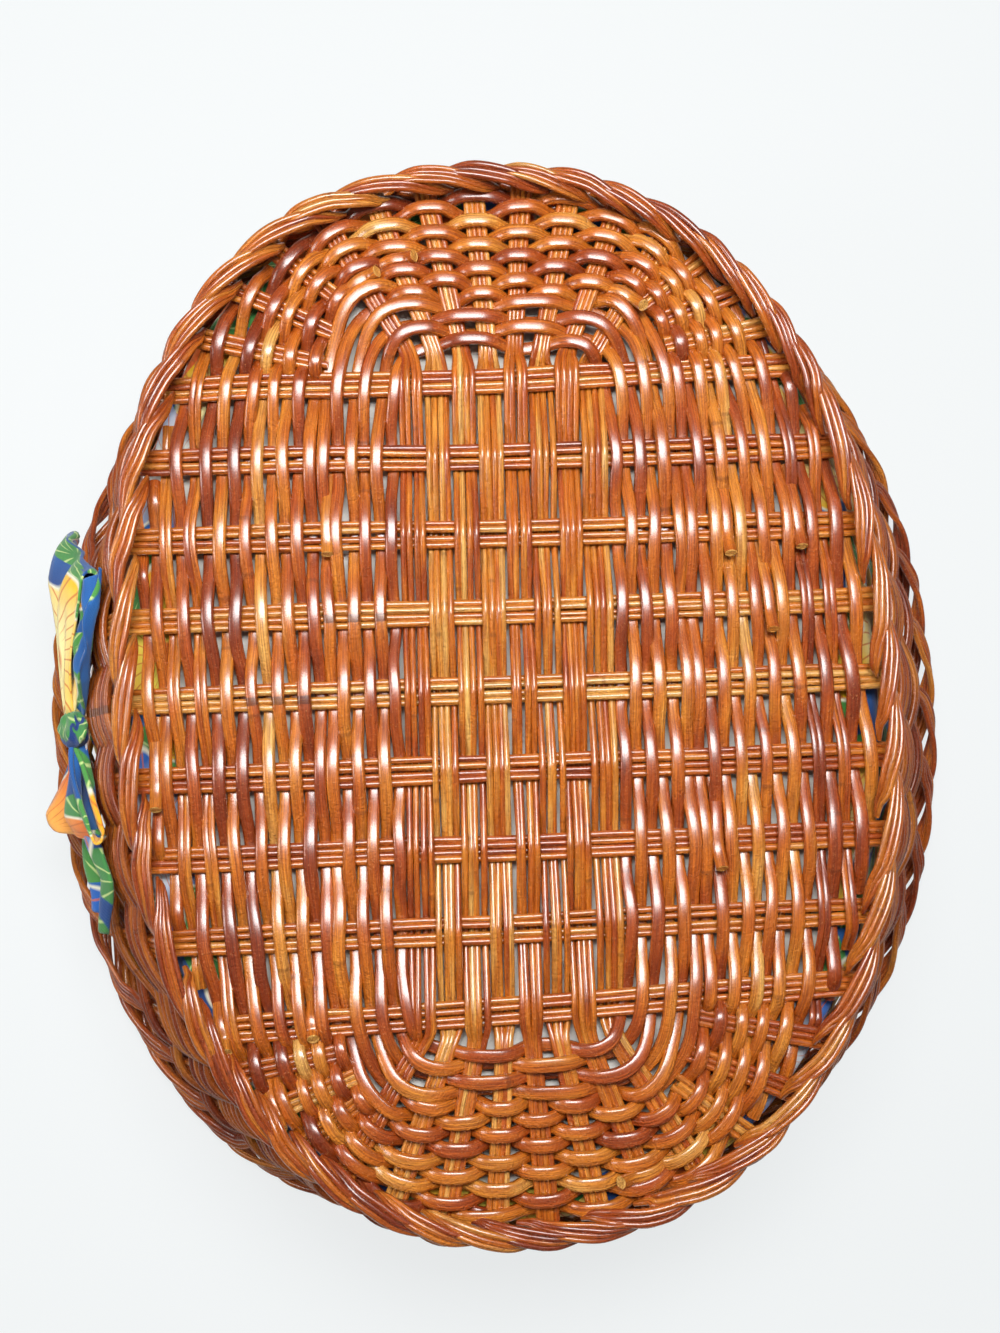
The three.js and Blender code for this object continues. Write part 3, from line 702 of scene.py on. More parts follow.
def rod_thickness(ruler, share):
    """Rods spread a little wider in the fans, where they bend most."""
    normal = oval_normal(ruler.oval, ruler.point_at(share))
    width = ROD_RADIUS * (FULL_WIDTH - SLIMMER_AT_SIDES * normal[:, 0] ** 2)
    return width * chance.uniform(0.92, 1.05) * (1 + wander(share, 0.035))


def woven_route(ruler, turn, share, phase):
    plan = ruler.point_at(share)
    normal = oval_normal(ruler.oval, plan)
    wave = weave_profile(phase, FLATNESS + FLATTER_AT_ENDS * normal[:, 1] ** 2)
    lean = -(LEAN + LEAN_AT_ENDS * normal[:, 1] ** 2) * wave
    lean = lean + wander(share, 0.32, (2, 3, 5, 9, 14, 23, 31))
    plan = rotated(plan + normal * lean[:, None], turn)
    return np.column_stack([plan, MAT_Z + LIFT * wave + wander(share, 0.1)])


def rod_tone():
    """Most rods are of a middle tone, and a few are much darker or paler."""
    return np.clip(chance.normal(0.42, 0.2), 0.02, 0.92)


def way_out(ruler, turn, share):
    return rotated(oval_normal(ruler.oval, ruler.point_at(share)), turn)


CUT_ENDS = (
    # row, degrees round from +X, and which way the cut end points
    (8, 141, 1), (11, 157, 1), (14, 151, 1), (12, 283, -1), (7, 309, -1), (18, 338, -1), (15, 307, -1),
    (13, 298, -1), (5, 65, 1), (6, 79, 1), (4, 114, 1), (6, 230, 1), (4, 42, -1), (9, 255, 1))
CUT_RADIUS, CUT_STEPS, CUT_OUT = 1.55, 14, 2.7
CUT_BACK, CUT_DROP, CUT_BENDS_FROM = -0.8, 14, 0.1


def cut_ends(row):
    """Ends of old rods in a row, cut off on top of a stake beside the rod that took over."""
    ruler, turn, hit, places = row_crossings(row)
    numbers = np.arange(len(places)) if row < ROUND_ROWS else hit
    passed_under = (numbers + row) % 2 == 0
    ends = []
    for degrees, way in [(degrees, way) for own, degrees, way in CUT_ENDS if own == row]:
        around = ruler.share_at(np.radians(degrees) - turn)
        off = np.abs((places - around + 0.5) % 1 - 0.5)
        at = np.argmin(np.where(passed_under, 1, off))
        spacing = np.abs((places[[at - 1, (at + 1) % len(places)]] - places[at] + 0.5) % 1 - 0.5).min()
        steps = np.linspace(CUT_BACK, chance.uniform(0.25, 0.45), CUT_STEPS)
        share = places[at] + way * spacing * steps
        route = woven_route(ruler, turn, share, 1 + np.minimum(steps, 0))
        route[:, :2] += way_out(ruler, turn, share) * CUT_OUT
        route[:, 2] -= np.clip(steps, 0, 1) + CUT_DROP * np.clip(steps - CUT_BENDS_FROM, 0, 1) ** 1.5
        ends.append(cane(route, CUT_RADIUS, chance.uniform(0.4, 0.7)))
    return ends


def round_rod(row):
    ruler, turn, hit, places = row_crossings(row)
    if row < PAIRED_ROWS:
        place_of = {stakes[end][:3]: place for end, place in zip(hit, places)}
        places = np.sort([(place + place_of[kind, index + 1, side]) / 2 if kind == "long" else place
                          for (kind, index, side), place in place_of.items()
                          if kind != "long" or index % 2 == 0])
    count = len(places)
    steps = np.arange(count * SPAN_STEPS) / SPAN_STEPS
    share = np.interp(steps, np.arange(count + 1), np.append(places, places[0] + 1))
    route = woven_route(ruler, turn, share, steps + row)
    return cane(route, rod_thickness(ruler, share), rod_tone(), closed=True)


BAND_ROWS = 3
for band in range(ROUND_ROWS // BAND_ROWS):
    rows = range(BAND_ROWS * band, BAND_ROWS * (band + 1))
    rods = [round_rod(row) for row in rows] + [item for row in rows for item in cut_ends(row)]
    make_canes(f"base_rods_round_{band + 1}", rods, rod_finish, f"base_round_{band + 1}",
               ROD_FLAT)
print(ROUND_ROWS, "rounds,", len(CUT_ENDS), "cut ends")

# %% The rods of the long sides
FOOT_INSET = 2.2
FOOT_INNER = (FOOT[0] - FOOT_INSET, FOOT[1] - FOOT_INSET, FOOT[2])
DIVE_RUN, DIVE_RISE, LOOK_AHEAD = 6, 2.4, 30
SPLIT_ROWS, SPLIT_APART, SPLIT_RADII, SPLIT_PALER = (3, 5), 0.78, (0.86, 0.82), 0.15


def room_to_foot(ruler, turn, place, way):
    """How much further round, as a share of the row, a rod runs before the foot border covers it."""
    ahead = np.linspace(0, LOOK_AHEAD, 4 * LOOK_AHEAD + 1) / ruler.total
    plan = rotated(ruler.point_at(place + way * ahead), turn)
    return ahead[np.argmax(level(FOOT_INNER, plan) > 1)]


def side_rods(step, side):
    """One row on a long side, which runs at both ends until it dives in behind the foot border."""
    ruler, turn, hit, places = row_crossings(ROUND_ROWS + step)
    plan = rotated(ruler.point_at(places), turn)
    kept = (level(FOOT_INNER, plan) < 1) & (plan[:, 0] * side > 0)
    places, hit = places[kept], hit[kept]
    if side > 0:
        past_start = places > 0.5
        places, hit = places - past_start, hit - past_start * len(stakes)
    places, hit = np.sort(places), np.sort(hit)
    before, after = (room_to_foot(ruler, turn, places[end], way) for end, way in ((0, -1), (-1, 1)))
    spacing = np.diff(places).mean()
    knots = np.concatenate([[places[0] - before], places, [places[-1] + after]])
    numbers = np.concatenate([[hit[0] - before / spacing], hit, [hit[-1] + after / spacing]])
    steps = np.linspace(numbers[0], numbers[-1], round((numbers[-1] - numbers[0]) * SPAN_STEPS) + 1)
    share = np.interp(steps, numbers, knots)
    route = woven_route(ruler, turn, share, steps + ROUND_ROWS + step)
    to_end = np.minimum(share - share[0], share[-1] - share) * ruler.total
    near_end = np.clip(1 - to_end / DIVE_RUN, 0, 1)
    dive = near_end ** 2 * (3 - 2 * near_end)
    route[:, 2] = route[:, 2] * (1 - dive) + (MAT_Z + DIVE_RISE) * dive
    tone = rod_tone()
    if step in SPLIT_ROWS:
        shift = np.column_stack([unit(way_out(ruler, turn, share)) * SPLIT_APART, np.zeros(len(route))])
        return [cane(route + shift, SPLIT_RADII[0], tone),
                cane(route - shift, SPLIT_RADII[1], np.clip(tone + SPLIT_PALER, 0, 1))]
    return [cane(route, rod_thickness(ruler, share), tone)]


for side, side_name in ((1, "right"), (-1, "left")):
    for band, steps_in in ((1, range(4)), (2, range(4, SIDE_ROWS))):
        rods = [rod for step in steps_in for rod in side_rods(step, side)]
        rods += [item for step in steps_in for item in cut_ends(ROUND_ROWS + step)
                 if item["points"][0, 0] * side > 0]
        make_canes(f"base_rods_{side_name}_{band}", rods, rod_finish, f"side_rows_{side_name}_{band}",
                   ROD_FLAT)
print(SIDE_ROWS, "side rows on each long side")

# %% [markdown]
# ## Weaving the wall
# Nine rows of thinner rods climb the wall, then comes an open band where the liner shows, and
# four more rows under the rim. They weave round the stakes just as in the base, but now the way
# in and out of the wall takes the place of up and down.

# %% The wall's rods
WALL_LIFT, WALL_ROD_RADIUS = 2.1, 1.12
# each band: the height of its first row, the pitch of its rows, and how many there are
WALL_BANDS = {"lower": (16.3, 2.58, 4), "middle": (26.62, 2.58, 5), "upper": (53.1, 2.42, 4)}


def wall_rod(height, row):
    count = len(stakes)
    steps = np.arange(count * SPAN_STEPS) / SPAN_STEPS
    which = np.floor(steps).astype(int)
    part = (steps - which)[:, None]
    heights = height + wander(steps / count, 0.2, (2, 3, 7, 12))
    spots = np.array([wall_point(end, height) for end in range(count)])
    spots = np.vstack([spots[-1:], spots, spots[:2]])
    plan = curved(*(spots[which + i] for i in range(4)), part)
    out = outwards[which] * (1 - part) + outwards[(which + 1) % count] * part
    wave = weave_profile(steps + row)
    route = np.column_stack([plan + unit(out) * (wave * WALL_LIFT)[:, None], heights])
    radius = WALL_ROD_RADIUS * chance.uniform(0.94, 1.06)
    return cane(route, radius, np.clip(chance.normal(0.38, 0.18), 0, 1), closed=True)


row = 0
for band, (lowest, pitch, count) in WALL_BANDS.items():
    rods = [wall_rod(lowest + pitch * number, row + number) for number in range(count)]
    row += count
    make_canes(f"wall_rods_{band}", rods, wall_with_painted_shade, f"wall_weave_{band}")
print(row, "rows up the wall")

# %% [markdown]
# ## The plaited foot and rim
# Both borders are plaits. At each stake a flat group of canes comes out from under the group
# before, sweeps along the outer edge and tucks in under the next one. Seen end on, the group
# turns round the border's middle line as it goes along it. So each group is a short helix, and
# forty-six of them lie over one another like rope. At the rim a group first climbs slantwise
# out of the wall, then runs over the top and tucks in on the inside.

# %% A group of canes along a helix
def flat_group(route, faces, count, spacing, radius, tones, taper=0.0):
    """Canes side by side along a route; faces are the directions that the group's flat side looks."""
    across = unit(np.cross(unit(np.gradient(route, axis=0)), faces))
    share = np.linspace(0, 1, len(route))
    from_middle = 2 * np.abs(share - 0.5)
    squeeze = spacing * (1 - taper * from_middle ** 1.7)
    slim = 1 - 0.45 * taper * from_middle ** 2
    canes = []
    for offset, tone in zip(offsets_of(count) * count, tones):
        wobble = wander(share, 0.12, (0.6, 1.1, 1.7))
        depth = wander(share, 0.08, (0.7, 1.3))
        path = route + across * (offset * squeeze + wobble)[:, None] + faces * depth[:, None]
        canes.append(cane(path, radius * chance.uniform(0.93, 1.06) * slim, tone))
    return canes


def group_tones(count):
    bundle = chance.normal(0.42, 0.14)
    return np.clip(bundle + chance.normal(0, 0.13, count), 0.02, 0.98)


FACE_SCALE, PLAIT_STEP = 8, 2.1


def plaited_group(ruler, here, pitch, stations, count, spacing, radius, taper, lead=None):
    """The canes of one group, through its stations round a ruler's oval, after an optional lead of points.

    The way that the flat side looks is smoothed with the route, as three more coordinates."""
    plan = ruler.point_at(here + pitch * stations[:, 0])
    normal = oval_normal(ruler.oval, plan)
    angle = np.radians(stations[:, 3])
    faces = np.column_stack([normal * np.cos(angle)[:, None], np.sin(angle)])
    both = np.column_stack([plan + normal * stations[:, 1][:, None], stations[:, 2], faces * FACE_SCALE])
    both = smooth_route(both if lead is None else np.vstack([lead, both]), PLAIT_STEP)
    return flat_group(both[:, :3], unit(both[:, 3:]), count, spacing, radius, group_tones(count), taper)


def to_next(shares, end):
    """How far round it is from a stake to the next one."""
    return shares[(end + 1) % len(stakes)] + (end + 1 == len(stakes)) - shares[end]


print(len(stakes), "groups in each border")

# %% The foot border
FOOT_REACH, FOOT_TAPER, LOWEST = 20.0, 0.85, 0.02
FOOT_GROUPS = {3: (1.56, 0.9), 4: (1.24, 0.73)}  # how many canes: their spacing and radius
FOOT_STATIONS = np.array([
    # share of the reach, way out from the foot line, height, direction of the flat side in degrees
    (-0.16, 0.9, 7.2, 40), (0.08, 1.9, 5.6, 0), (0.32, 2.2, 3.8, -38), (0.64, 1.8, 2.3, -68),
    (0.98, 0.9, 1.8, -84), (1.3, -0.3, 2.0, -96), (1.56, -1.3, 3.3, -112), (1.74, -1.8, 5.2, -135),
    (1.9, -1.4, 7.2, -170)])
foot_canes = []
for end in range(len(stakes)):
    stations = FOOT_STATIONS + chance.normal(0, 1, FOOT_STATIONS.shape) * (0.03, 0.14, 0.1, 3)
    reach = 0.4 * to_next(own_shares, end) + 0.6 * FOOT_REACH / foot_ruler.total
    reach = reach * chance.uniform(0.94, 1.06)
    count = chance.choice([3, 3, 4])
    foot_canes += plaited_group(foot_ruler, own_shares[end], reach, stations, count, *FOOT_GROUPS[count],
                                FOOT_TAPER)
for item in foot_canes:
    low = item["points"][:, 2].min() - item["radius"].max()
    item["points"][:, 2] += max(0, LOWEST - low)
make_canes("foot_border_canes", foot_canes, border_tone_and_painted_shade, "foot_border")
print(len(foot_canes), "canes in the foot border")

# %% The rim border
RIM_STATIONS = np.array([
    # share of a pitch, way out from the rim line, height, direction of the flat side in degrees
    (0.1, -0.8, 66.6, -25), (0.26, 1.1, 68.7, -42), (0.48, 3.2, 70.9, -38), (0.78, 4.3, 73.2, -12),
    (1.1, 4.2, 75.7, 25), (1.45, 2.9, 77.6, 58), (1.8, 0.8, 78.3, 84), (2.25, -2.2, 77.6, 110),
    (2.65, -3.8, 75.0, 150), (2.9, -3.2, 72.6, 185)])
RIM_GROUP_WIDTH, RIM_RADII, RIM_TAPER, HIGHEST = 6.2, 3.5, 0.35, 80
rim_canes = []
for end in range(len(stakes)):
    count = 3 if stakes[end][0] == "corner" else 4
    stations = RIM_STATIONS + chance.normal(0, 1, RIM_STATIONS.shape) * (0.03, 0.15, 0.12, 2)
    leg = np.array([[*wall_point(end, height), height, *(outwards[end] * FACE_SCALE), 0]
                    for height in (LEG_START - 1, LEG_START + 2.5)])
    reach = 0.25 * to_next(rim_shares, end) + 0.75 / len(stakes)
    rim_canes += plaited_group(rim_ruler, rim_shares[end], reach, stations, count, RIM_GROUP_WIDTH / count,
                               RIM_RADII / count, RIM_TAPER, leg)
for item in rim_canes:
    high = item["points"][:, 2].max() + item["radius"].max()
    item["points"][:, 2] -= max(0, high - HIGHEST)
make_canes("rim_border_canes", rim_canes, rim_with_painted_shade, "rim_border")
print(len(rim_canes), "canes in the rim border")

# %% [markdown]
# ## The printed cotton
# The liner and its bow are printed cotton: round flowers with pointed petals in yellow, orange
# and white, and green leaves on a deep blue ground. The print is a generic one, drawn from a
# scatter of cells. In each cell the distance and direction from the middle give the petals.
# A UV map in metres of cloth carries it, so that the print bends and gathers with the cloth.

# %% Flowers as a node group
flower_group, given, result = new_group(
    "scattered_flowers",
    [("Cloth", VECTOR, None), ("Scale", FLOAT, 30.0), ("Petals", FLOAT, 8.0), ("Size", FLOAT, 0.42)],
    [("Petal", FLOAT), ("Heart", FLOAT), ("Vein", FLOAT), ("Way out", FLOAT), ("Which", COLOUR)])
tree = flower_group
SOFT_EDGE, FULL_TURN, HEART_SHARE, VEINS_PER_PETAL = 0.012, 6.28, 0.17, 5.0
cells = add_node(tree, "ShaderNodeTexVoronoi", {
    "Vector": given["Cloth"], "Scale": given["Scale"], "Randomness": 0.7}, voronoi_dimensions="2D").outputs
distance = cells["Distance"]
away = vector_node(tree, "SUBTRACT", scaled(tree, given["Cloth"], given["Scale"]),
                   scaled(tree, cells["Position"], given["Scale"]))
right, up, _ = parts_of(tree, away)
hue = add_node(tree, "ShaderNodeSeparateColor", {0: cells["Color"]}).outputs[1]
direction = summed(tree, math_node(tree, "ARCTAN2", up, right), math_node(tree, "MULTIPLY", hue, FULL_TURN))
wave = math_node(tree, "COSINE", math_node(tree, "MULTIPLY", direction, given["Petals"]))
edge = math_node(tree, "MULTIPLY", given["Size"], spread(tree, wave, -1.0, 1.0, 0.62, 1.0))
heart = math_node(tree, "MULTIPLY", given["Size"], HEART_SHARE)
inside_edge, inside_heart = (
    spread(tree, math_node(tree, "SUBTRACT", reach, distance), -SOFT_EDGE, SOFT_EDGE)
    for reach in (edge, heart))
veins = math_node(tree, "MULTIPLY", given["Petals"], VEINS_PER_PETAL)
lines = math_node(tree, "COSINE", math_node(tree, "MULTIPLY", direction, veins))
vein = math_node(tree, "MULTIPLY", spread(tree, lines, 0.8, 1.0, 0.0, 0.8), spread(tree, distance, 0.12, 0.2))
set_inputs(tree, result, {"Petal": inside_edge, "Heart": inside_heart, "Way out": distance, "Vein": vein,
                          "Which": cells["Color"]})
print(len(flower_group.nodes), "nodes in the flower print")


# %% The weave of the cloth as a node group
weave_group, given, result = new_group("cotton_weave", [("Cloth", VECTOR, None)],
                                       [("Thread", FLOAT), ("Slub", FLOAT)])
tree = weave_group
THREADS = 9000.0
uneven = add_node(tree, "ShaderNodeTexNoise", {"Vector": given["Cloth"], "Scale": 120.0}).outputs["Color"]
spun = vector_node(tree, "ADD", given["Cloth"], vector_node(tree, "MULTIPLY", uneven, (0.0006, 0.0006, 0.0)))
warp, weft = (math_node(tree, "SINE", math_node(tree, "MULTIPLY", part, THREADS))
              for part in parts_of(tree, spun)[:2])
set_inputs(tree, result, {"Thread": spread(tree, math_node(tree, "MULTIPLY", warp, weft), -1.0, 1.0),
                          "Slub": stretched_noise(tree, given["Cloth"], (90.0, 1400.0, 1.0))})
print(len(weave_group.nodes), "nodes in the weave")


# %% The printed and the plain cotton
def flowers_on(tree, cloth, scale, petals, size):
    return add_node(tree, "ShaderNodeGroup", {"Cloth": cloth, "Scale": scale, "Petals": petals, "Size": size},
                    node_tree=flower_group).outputs


def stepped_colours(tree, value, stops):
    colours = colour_ramp(tree, value, stops)
    colours.node.color_ramp.interpolation = "CONSTANT"
    return colours


def print_colour(tree, cloth, cloud):
    """Leaves on a blue ground, and flowers with a pale rim on top of both."""
    colour = mix_colour(tree, spread(tree, cloud, 0.35, 0.65), srgb(10, 52, 120), srgb(30, 110, 186))
    leaves = flowers_on(tree, cloth, 52.0, 2.0, 0.56)
    green = mix_colour(tree, cloud, srgb(20, 104, 70), srgb(96, 176, 60))
    green = mix_colour(tree, leaves["Vein"], green, srgb(214, 232, 150))
    colour = mix_colour(tree, leaves["Petal"], colour, green)
    shift = vector_node(tree, "ADD", cloth, (0.013, 0.021, 0.0))
    rims, flowers = (flowers_on(tree, shift, 21.0, 6.0, size) for size in (0.555, 0.52))
    colour = mix_colour(tree, rims["Petal"], colour, srgb(244, 240, 214))
    pick = add_node(tree, "ShaderNodeSeparateColor", {0: flowers["Which"]}).outputs[0]
    inner = stepped_colours(tree, pick, [(0.0, srgb(255, 240, 170)), (0.46, srgb(255, 176, 70)),
                                         (0.7, srgb(255, 236, 90)), (0.88, srgb(250, 250, 240))])
    outer = stepped_colours(tree, pick, [(0.0, srgb(255, 200, 10)), (0.46, srgb(244, 104, 20)),
                                         (0.7, srgb(255, 176, 20)), (0.88, srgb(30, 100, 190))])
    blotch = summed(tree, flowers["Way out"], spread(tree, cloud, 0.3, 0.7, -0.14, 0.14))
    petals = mix_colour(tree, spread(tree, blotch, 0.12, 0.46), inner, outer)
    petals = mix_colour(tree, flowers["Vein"], petals, srgb(214, 104, 26))
    colour = mix_colour(tree, flowers["Petal"], colour, petals)
    return mix_colour(tree, flowers["Heart"], colour, srgb(222, 104, 24))


def plain_colour(tree, cloth, cloud):
    return mix_colour(tree, spread(tree, cloud, 0.3, 0.7), srgb(224, 220, 210), srgb(238, 236, 230))


def cotton_material(name, cloth_colour):
    material, tree = new_material(name)
    cloth = add_node(tree, "ShaderNodeUVMap", uv_map="cloth").outputs[0]
    weave = add_node(tree, "ShaderNodeGroup", {"Cloth": cloth}, node_tree=weave_group).outputs
    colour = cloth_colour(tree, cloth, noise(tree, cloth, 35.0, 3.0))
    colour = mix_colour(tree, math_node(tree, "MULTIPLY", weave["Slub"], 0.22), colour, srgb(120, 116, 108),
                        "MULTIPLY")
    set_inputs(tree, tree.nodes["Principled BSDF"], {
        "Base Color": colour, "Roughness": spread(tree, weave["Slub"], 0.2, 0.8, 0.72, 0.92),
        "Normal": bumps(tree, summed(tree, weave["Thread"], weave["Slub"]), 0.00008),
        "Sheen Weight": 0.25, "Sheen Roughness": 0.5})
    return material


printed_finish = cotton_material("printed_cotton", print_colour)
plain_finish = cotton_material("plain_cotton", plain_colour)
print("a printed cotton and a plain one")

# %% [markdown]
# ## The liner
# The liner is two sheets: a printed skirt that stands round the wall, and a plain floor lying on
# the woven base. The skirt's lower edge turns in under the floor, as a seam allowance does. A
# grid of a few strips is bent to the place that the CAD gives, with soft upright folds where the
# cloth is gathered.

# %% Cloth from a grid
def mesh_from(builder, name):
    mesh = bpy.data.meshes.new(name)
    builder.to_mesh(mesh)
    builder.free()
    return mesh


def put_at(verts, points):
    for vert, point in zip(verts, points):
        vert.co = Vector(point) / 1000


def mean_length(lines):
    """The mean length of lines of points in mm, in metres."""
    return np.mean([length_along(line)[-1] for line in lines]) / 1000


SHARES = np.linspace(0, 1, 241)
WELD = 0.00002


def cloth_sheet(name, across, along, place, material, node, closed=False, thickness=0.5, cut_at=(0, 0)):
    """Bends a grid to place(u, v), points in mm with v along the cloth.

    Its UV map is in metres of cloth, from the spot on the bolt where the piece was cut."""
    builder = bmesh.new()
    layer = builder.loops.layers.uv.new("cloth")
    bmesh.ops.create_grid(builder, x_segments=along, y_segments=across, size=0.5, calc_uvs=True)
    grid = np.array([[vert.co.x + 0.5, vert.co.y + 0.5] for vert in builder.verts])
    put_at(builder.verts, hand_shaped(place(grid[:, 1], grid[:, 0])))
    length = mean_length(place(np.full_like(SHARES, u), SHARES) for u in (0.0, 0.5, 1.0))
    width = mean_length(place(SHARES, np.full_like(SHARES, v)) for v in (0.1, 0.5, 0.9))
    for face in builder.faces:
        for loop in face.loops:
            loop[layer].uv = (loop[layer].uv.x * length + cut_at[0], loop[layer].uv.y * width + cut_at[1])
    if closed:
        bmesh.ops.remove_doubles(builder, verts=builder.verts, dist=WELD)
    area = sum(face.calc_area() for face in builder.faces)
    piece = placed(name, mesh_from(builder, name), material, node)
    wall = piece.modifiers.new("cloth thickness", "SOLIDIFY")
    wall.thickness, wall.offset = thickness / 1000, 0
    print(f"{name}: {length * 1000:.0f} x {width * 1000:.0f} mm of cloth, {area * 10000:.0f} square cm")
    return piece, (width, length), area


# %% The liner's skirt and floor
SKIRT_BOTTOM, SKIRT_TOP, SKIRT_INSET, FLOOR_Z = 15.6, 66.0, 5.1, 14.05
SEAM_SHARE, SEAM_TURN, SEAM_DROP = 0.22, 9.0, 2.3


def wall_plan(share, height):
    """A place on the wall's middle line and the way out, for a share of the foot line."""
    mix = up_wall_share(height)
    low = foot_ruler.point_at(share)
    low_out = oval_normal(FOOT, low)
    drift = np.interp(share % 1, own_shares, rim_shares - own_shares, period=1)
    high = rim_ruler.point_at(share + drift)
    out = unit(low_out + oval_normal(RIM, high))
    return (low + low_out * WALL_STEP_OUT) * (1 - mix)[:, None] + high * mix[:, None], out


def skirt_place(u, v):
    """u goes from the seam allowance under the floor up to the top edge, v goes once round."""
    under = np.clip(1 - u / SEAM_SHARE, 0, 1)
    risen = np.clip((u - SEAM_SHARE) / (1 - SEAM_SHARE), 0, 1)
    height = SKIRT_BOTTOM - SEAM_DROP * under ** 0.5 + risen * (SKIRT_TOP - SKIRT_BOTTOM)
    inward = SEAM_TURN * under ** 1.2
    plan, out = wall_plan(v, np.maximum(height, WALL_START))
    folds = np.sin(2 * np.pi * 31 * v + 1.7 * np.sin(2 * np.pi * 5 * v)) * 0.55
    folds += np.sin(2 * np.pi * 67 * v + 2.1 * np.sin(2 * np.pi * 3 * v + 1)) * 0.25
    inset = SKIRT_INSET + inward + folds * np.clip(risen * 4, 0, 1)
    return np.column_stack([plan - out * inset[:, None], height])


skirt, flat, area = cloth_sheet("liner_skirt_cloth", 40, 480, skirt_place, printed_finish, "liner_skirt",
                                closed=True)


def floor_place(u, v):
    """A square grid drawn out to the oval inside the foot border, with a faint ripple."""
    plan = np.column_stack([2 * v - 1, 2 * u - 1])
    square = np.maximum(np.abs(plan[:, 0]), np.abs(plan[:, 1]))
    round_out = on_oval(FOOT_INNER, np.where(square[:, None] < 1e-9, 1.0, plan)) * square[:, None]
    ripple = 0.25 * np.sin(plan[:, 0] * 9 + 2 * plan[:, 1]) + 0.2 * np.sin(plan[:, 1] * 13 - 3 * plan[:, 0])
    return np.column_stack([round_out, FLOOR_Z + ripple * (1 - square ** 4) + 0.4 * square ** 6])


floor_cloth, _, area = cloth_sheet("liner_floor_cloth", 60, 60, floor_place, plain_finish, "liner_floor")

# %% [markdown]
# ## The bow
# The tie comes out between two stakes near the middle of one long side. It is knotted there, with
# a long loop, a short loop and two tails along the wall. Each loop is one strip of cloth that runs
# out from the knot and back again. It is gathered into pleats where the knot grips it, opens to a
# wide crumpled end and sags a little. A tail is a single strip with a slanting cut. Each strip was
# cut at a spot of its own on the bolt, so each shows other flowers.

# %% The places of the bow outside the wall
BOW_Z, BOW_Y, KNOT_HALF, BOW_SAG = 38.0, -1.5, 3.5, 5.5
RODS_OUTSIDE, CLOTH_CLEAR = 3.75, 0.4


def outside_wall(y, height, depth):
    """A place outside the wall's rods, beside the bow, with the way out and the way up the wall."""
    low, high = np.array(FOOT) + (WALL_STEP_OUT, WALL_STEP_OUT, 0), np.array(RIM)
    oval = (low + (high - low) * up_wall_share(height)[:, None]).T
    plan = np.column_stack([oval_x(oval, y), y])
    out = oval_normal(oval, plan)
    plan = plan + out * (RODS_OUTSIDE + depth)[:, None]
    return np.column_stack([plan, height]), np.column_stack([out, np.zeros(len(y))])


def beside_wall(y, height, depth):
    """Places of cloth outside the wall, never in its rods."""
    return outside_wall(y, height, np.maximum(depth, CLOTH_CLEAR))[0]


def up_wall(y, height):
    low, _ = outside_wall(y, height, np.zeros(len(y)))
    high, _ = outside_wall(y, height + 1, np.zeros(len(y)))
    return unit(high - low)


def crumple(u, v, phases):
    """Soft creases of a handled strip, in mm."""
    lean = np.sin(7 * v + 2.2 * u + phases[0]) + 0.6 * np.sin(13 * v - 5 * u + phases[1])
    ridge = np.abs(np.sin(4.2 * u + 6.5 * v + phases[2])) - 0.6
    return 0.6 * lean + 1.7 * ridge * np.sin(np.pi * np.clip(v, 0.05, 0.95))


def loop_place(way, length, slant, fullest, seed):
    """A strip that runs out from the knot, turns at its slanting tip and comes back under itself."""
    pleats = np.random.default_rng(seed).uniform(0, 2 * np.pi, 4)

    def place(u, v):
        there = 1 - np.abs(2 * v - 1)
        side = u * 2 - 1
        far = np.sin(there * np.pi / 2) ** 0.85
        y = BOW_Y + way * (KNOT_HALF + far * length * (1 + slant * side * far))
        fullness = np.clip(there * 1.9, 0, 1) ** 0.9
        half = 3.0 + (fullest - 3.0) * fullness
        depth = 2.8 + np.sign(v - 0.5) * -2.2 * np.sin(np.pi * there ** 0.8 * 0.98) ** 0.8
        depth = depth + (1 - fullness) * 1.3 * np.cos(3 * np.pi * side + pleats[0])
        depth = depth + 1.1 * fullness * np.cos(2.2 * np.pi * side + pleats[1] + 1.6 * there)
        depth = depth + 0.5 * np.sin(5 * np.pi * side + pleats[2]) * (1 - there) + crumple(u, v, pleats)
        rise = side * half + 1.1 * np.sin(2 * np.pi * there + pleats[3]) * (1 + side)
        return beside_wall(y, BOW_Z - BOW_SAG * fullness + rise, depth + (half + rise) * 0.2 * fullness)

    return place


def tail_place(way, length, seed, heights, halves, lift):
    """A strip from the knot along the wall, through heights and half widths; its end stands off by lift."""
    wave = np.random.default_rng(seed).uniform(0, 2 * np.pi, 3)

    def place(u, v):
        side = u * 2 - 1
        y = BOW_Y + way * (KNOT_HALF + v * length * (1 - 0.22 * v * (u - 0.2)))
        height, half = (np.interp(v, np.linspace(0, 1, len(values)), values) for values in (heights, halves))
        depth = 1.6 + 0.8 * np.sin(5 * v + wave[0])
        depth = depth + (0.9 + 1.1 * v) * np.cos(2.0 * np.pi * side + wave[1] + 3 * v)
        return beside_wall(y, height + side * half, depth + crumple(u, v, wave) + lift * v ** 3)

    return place


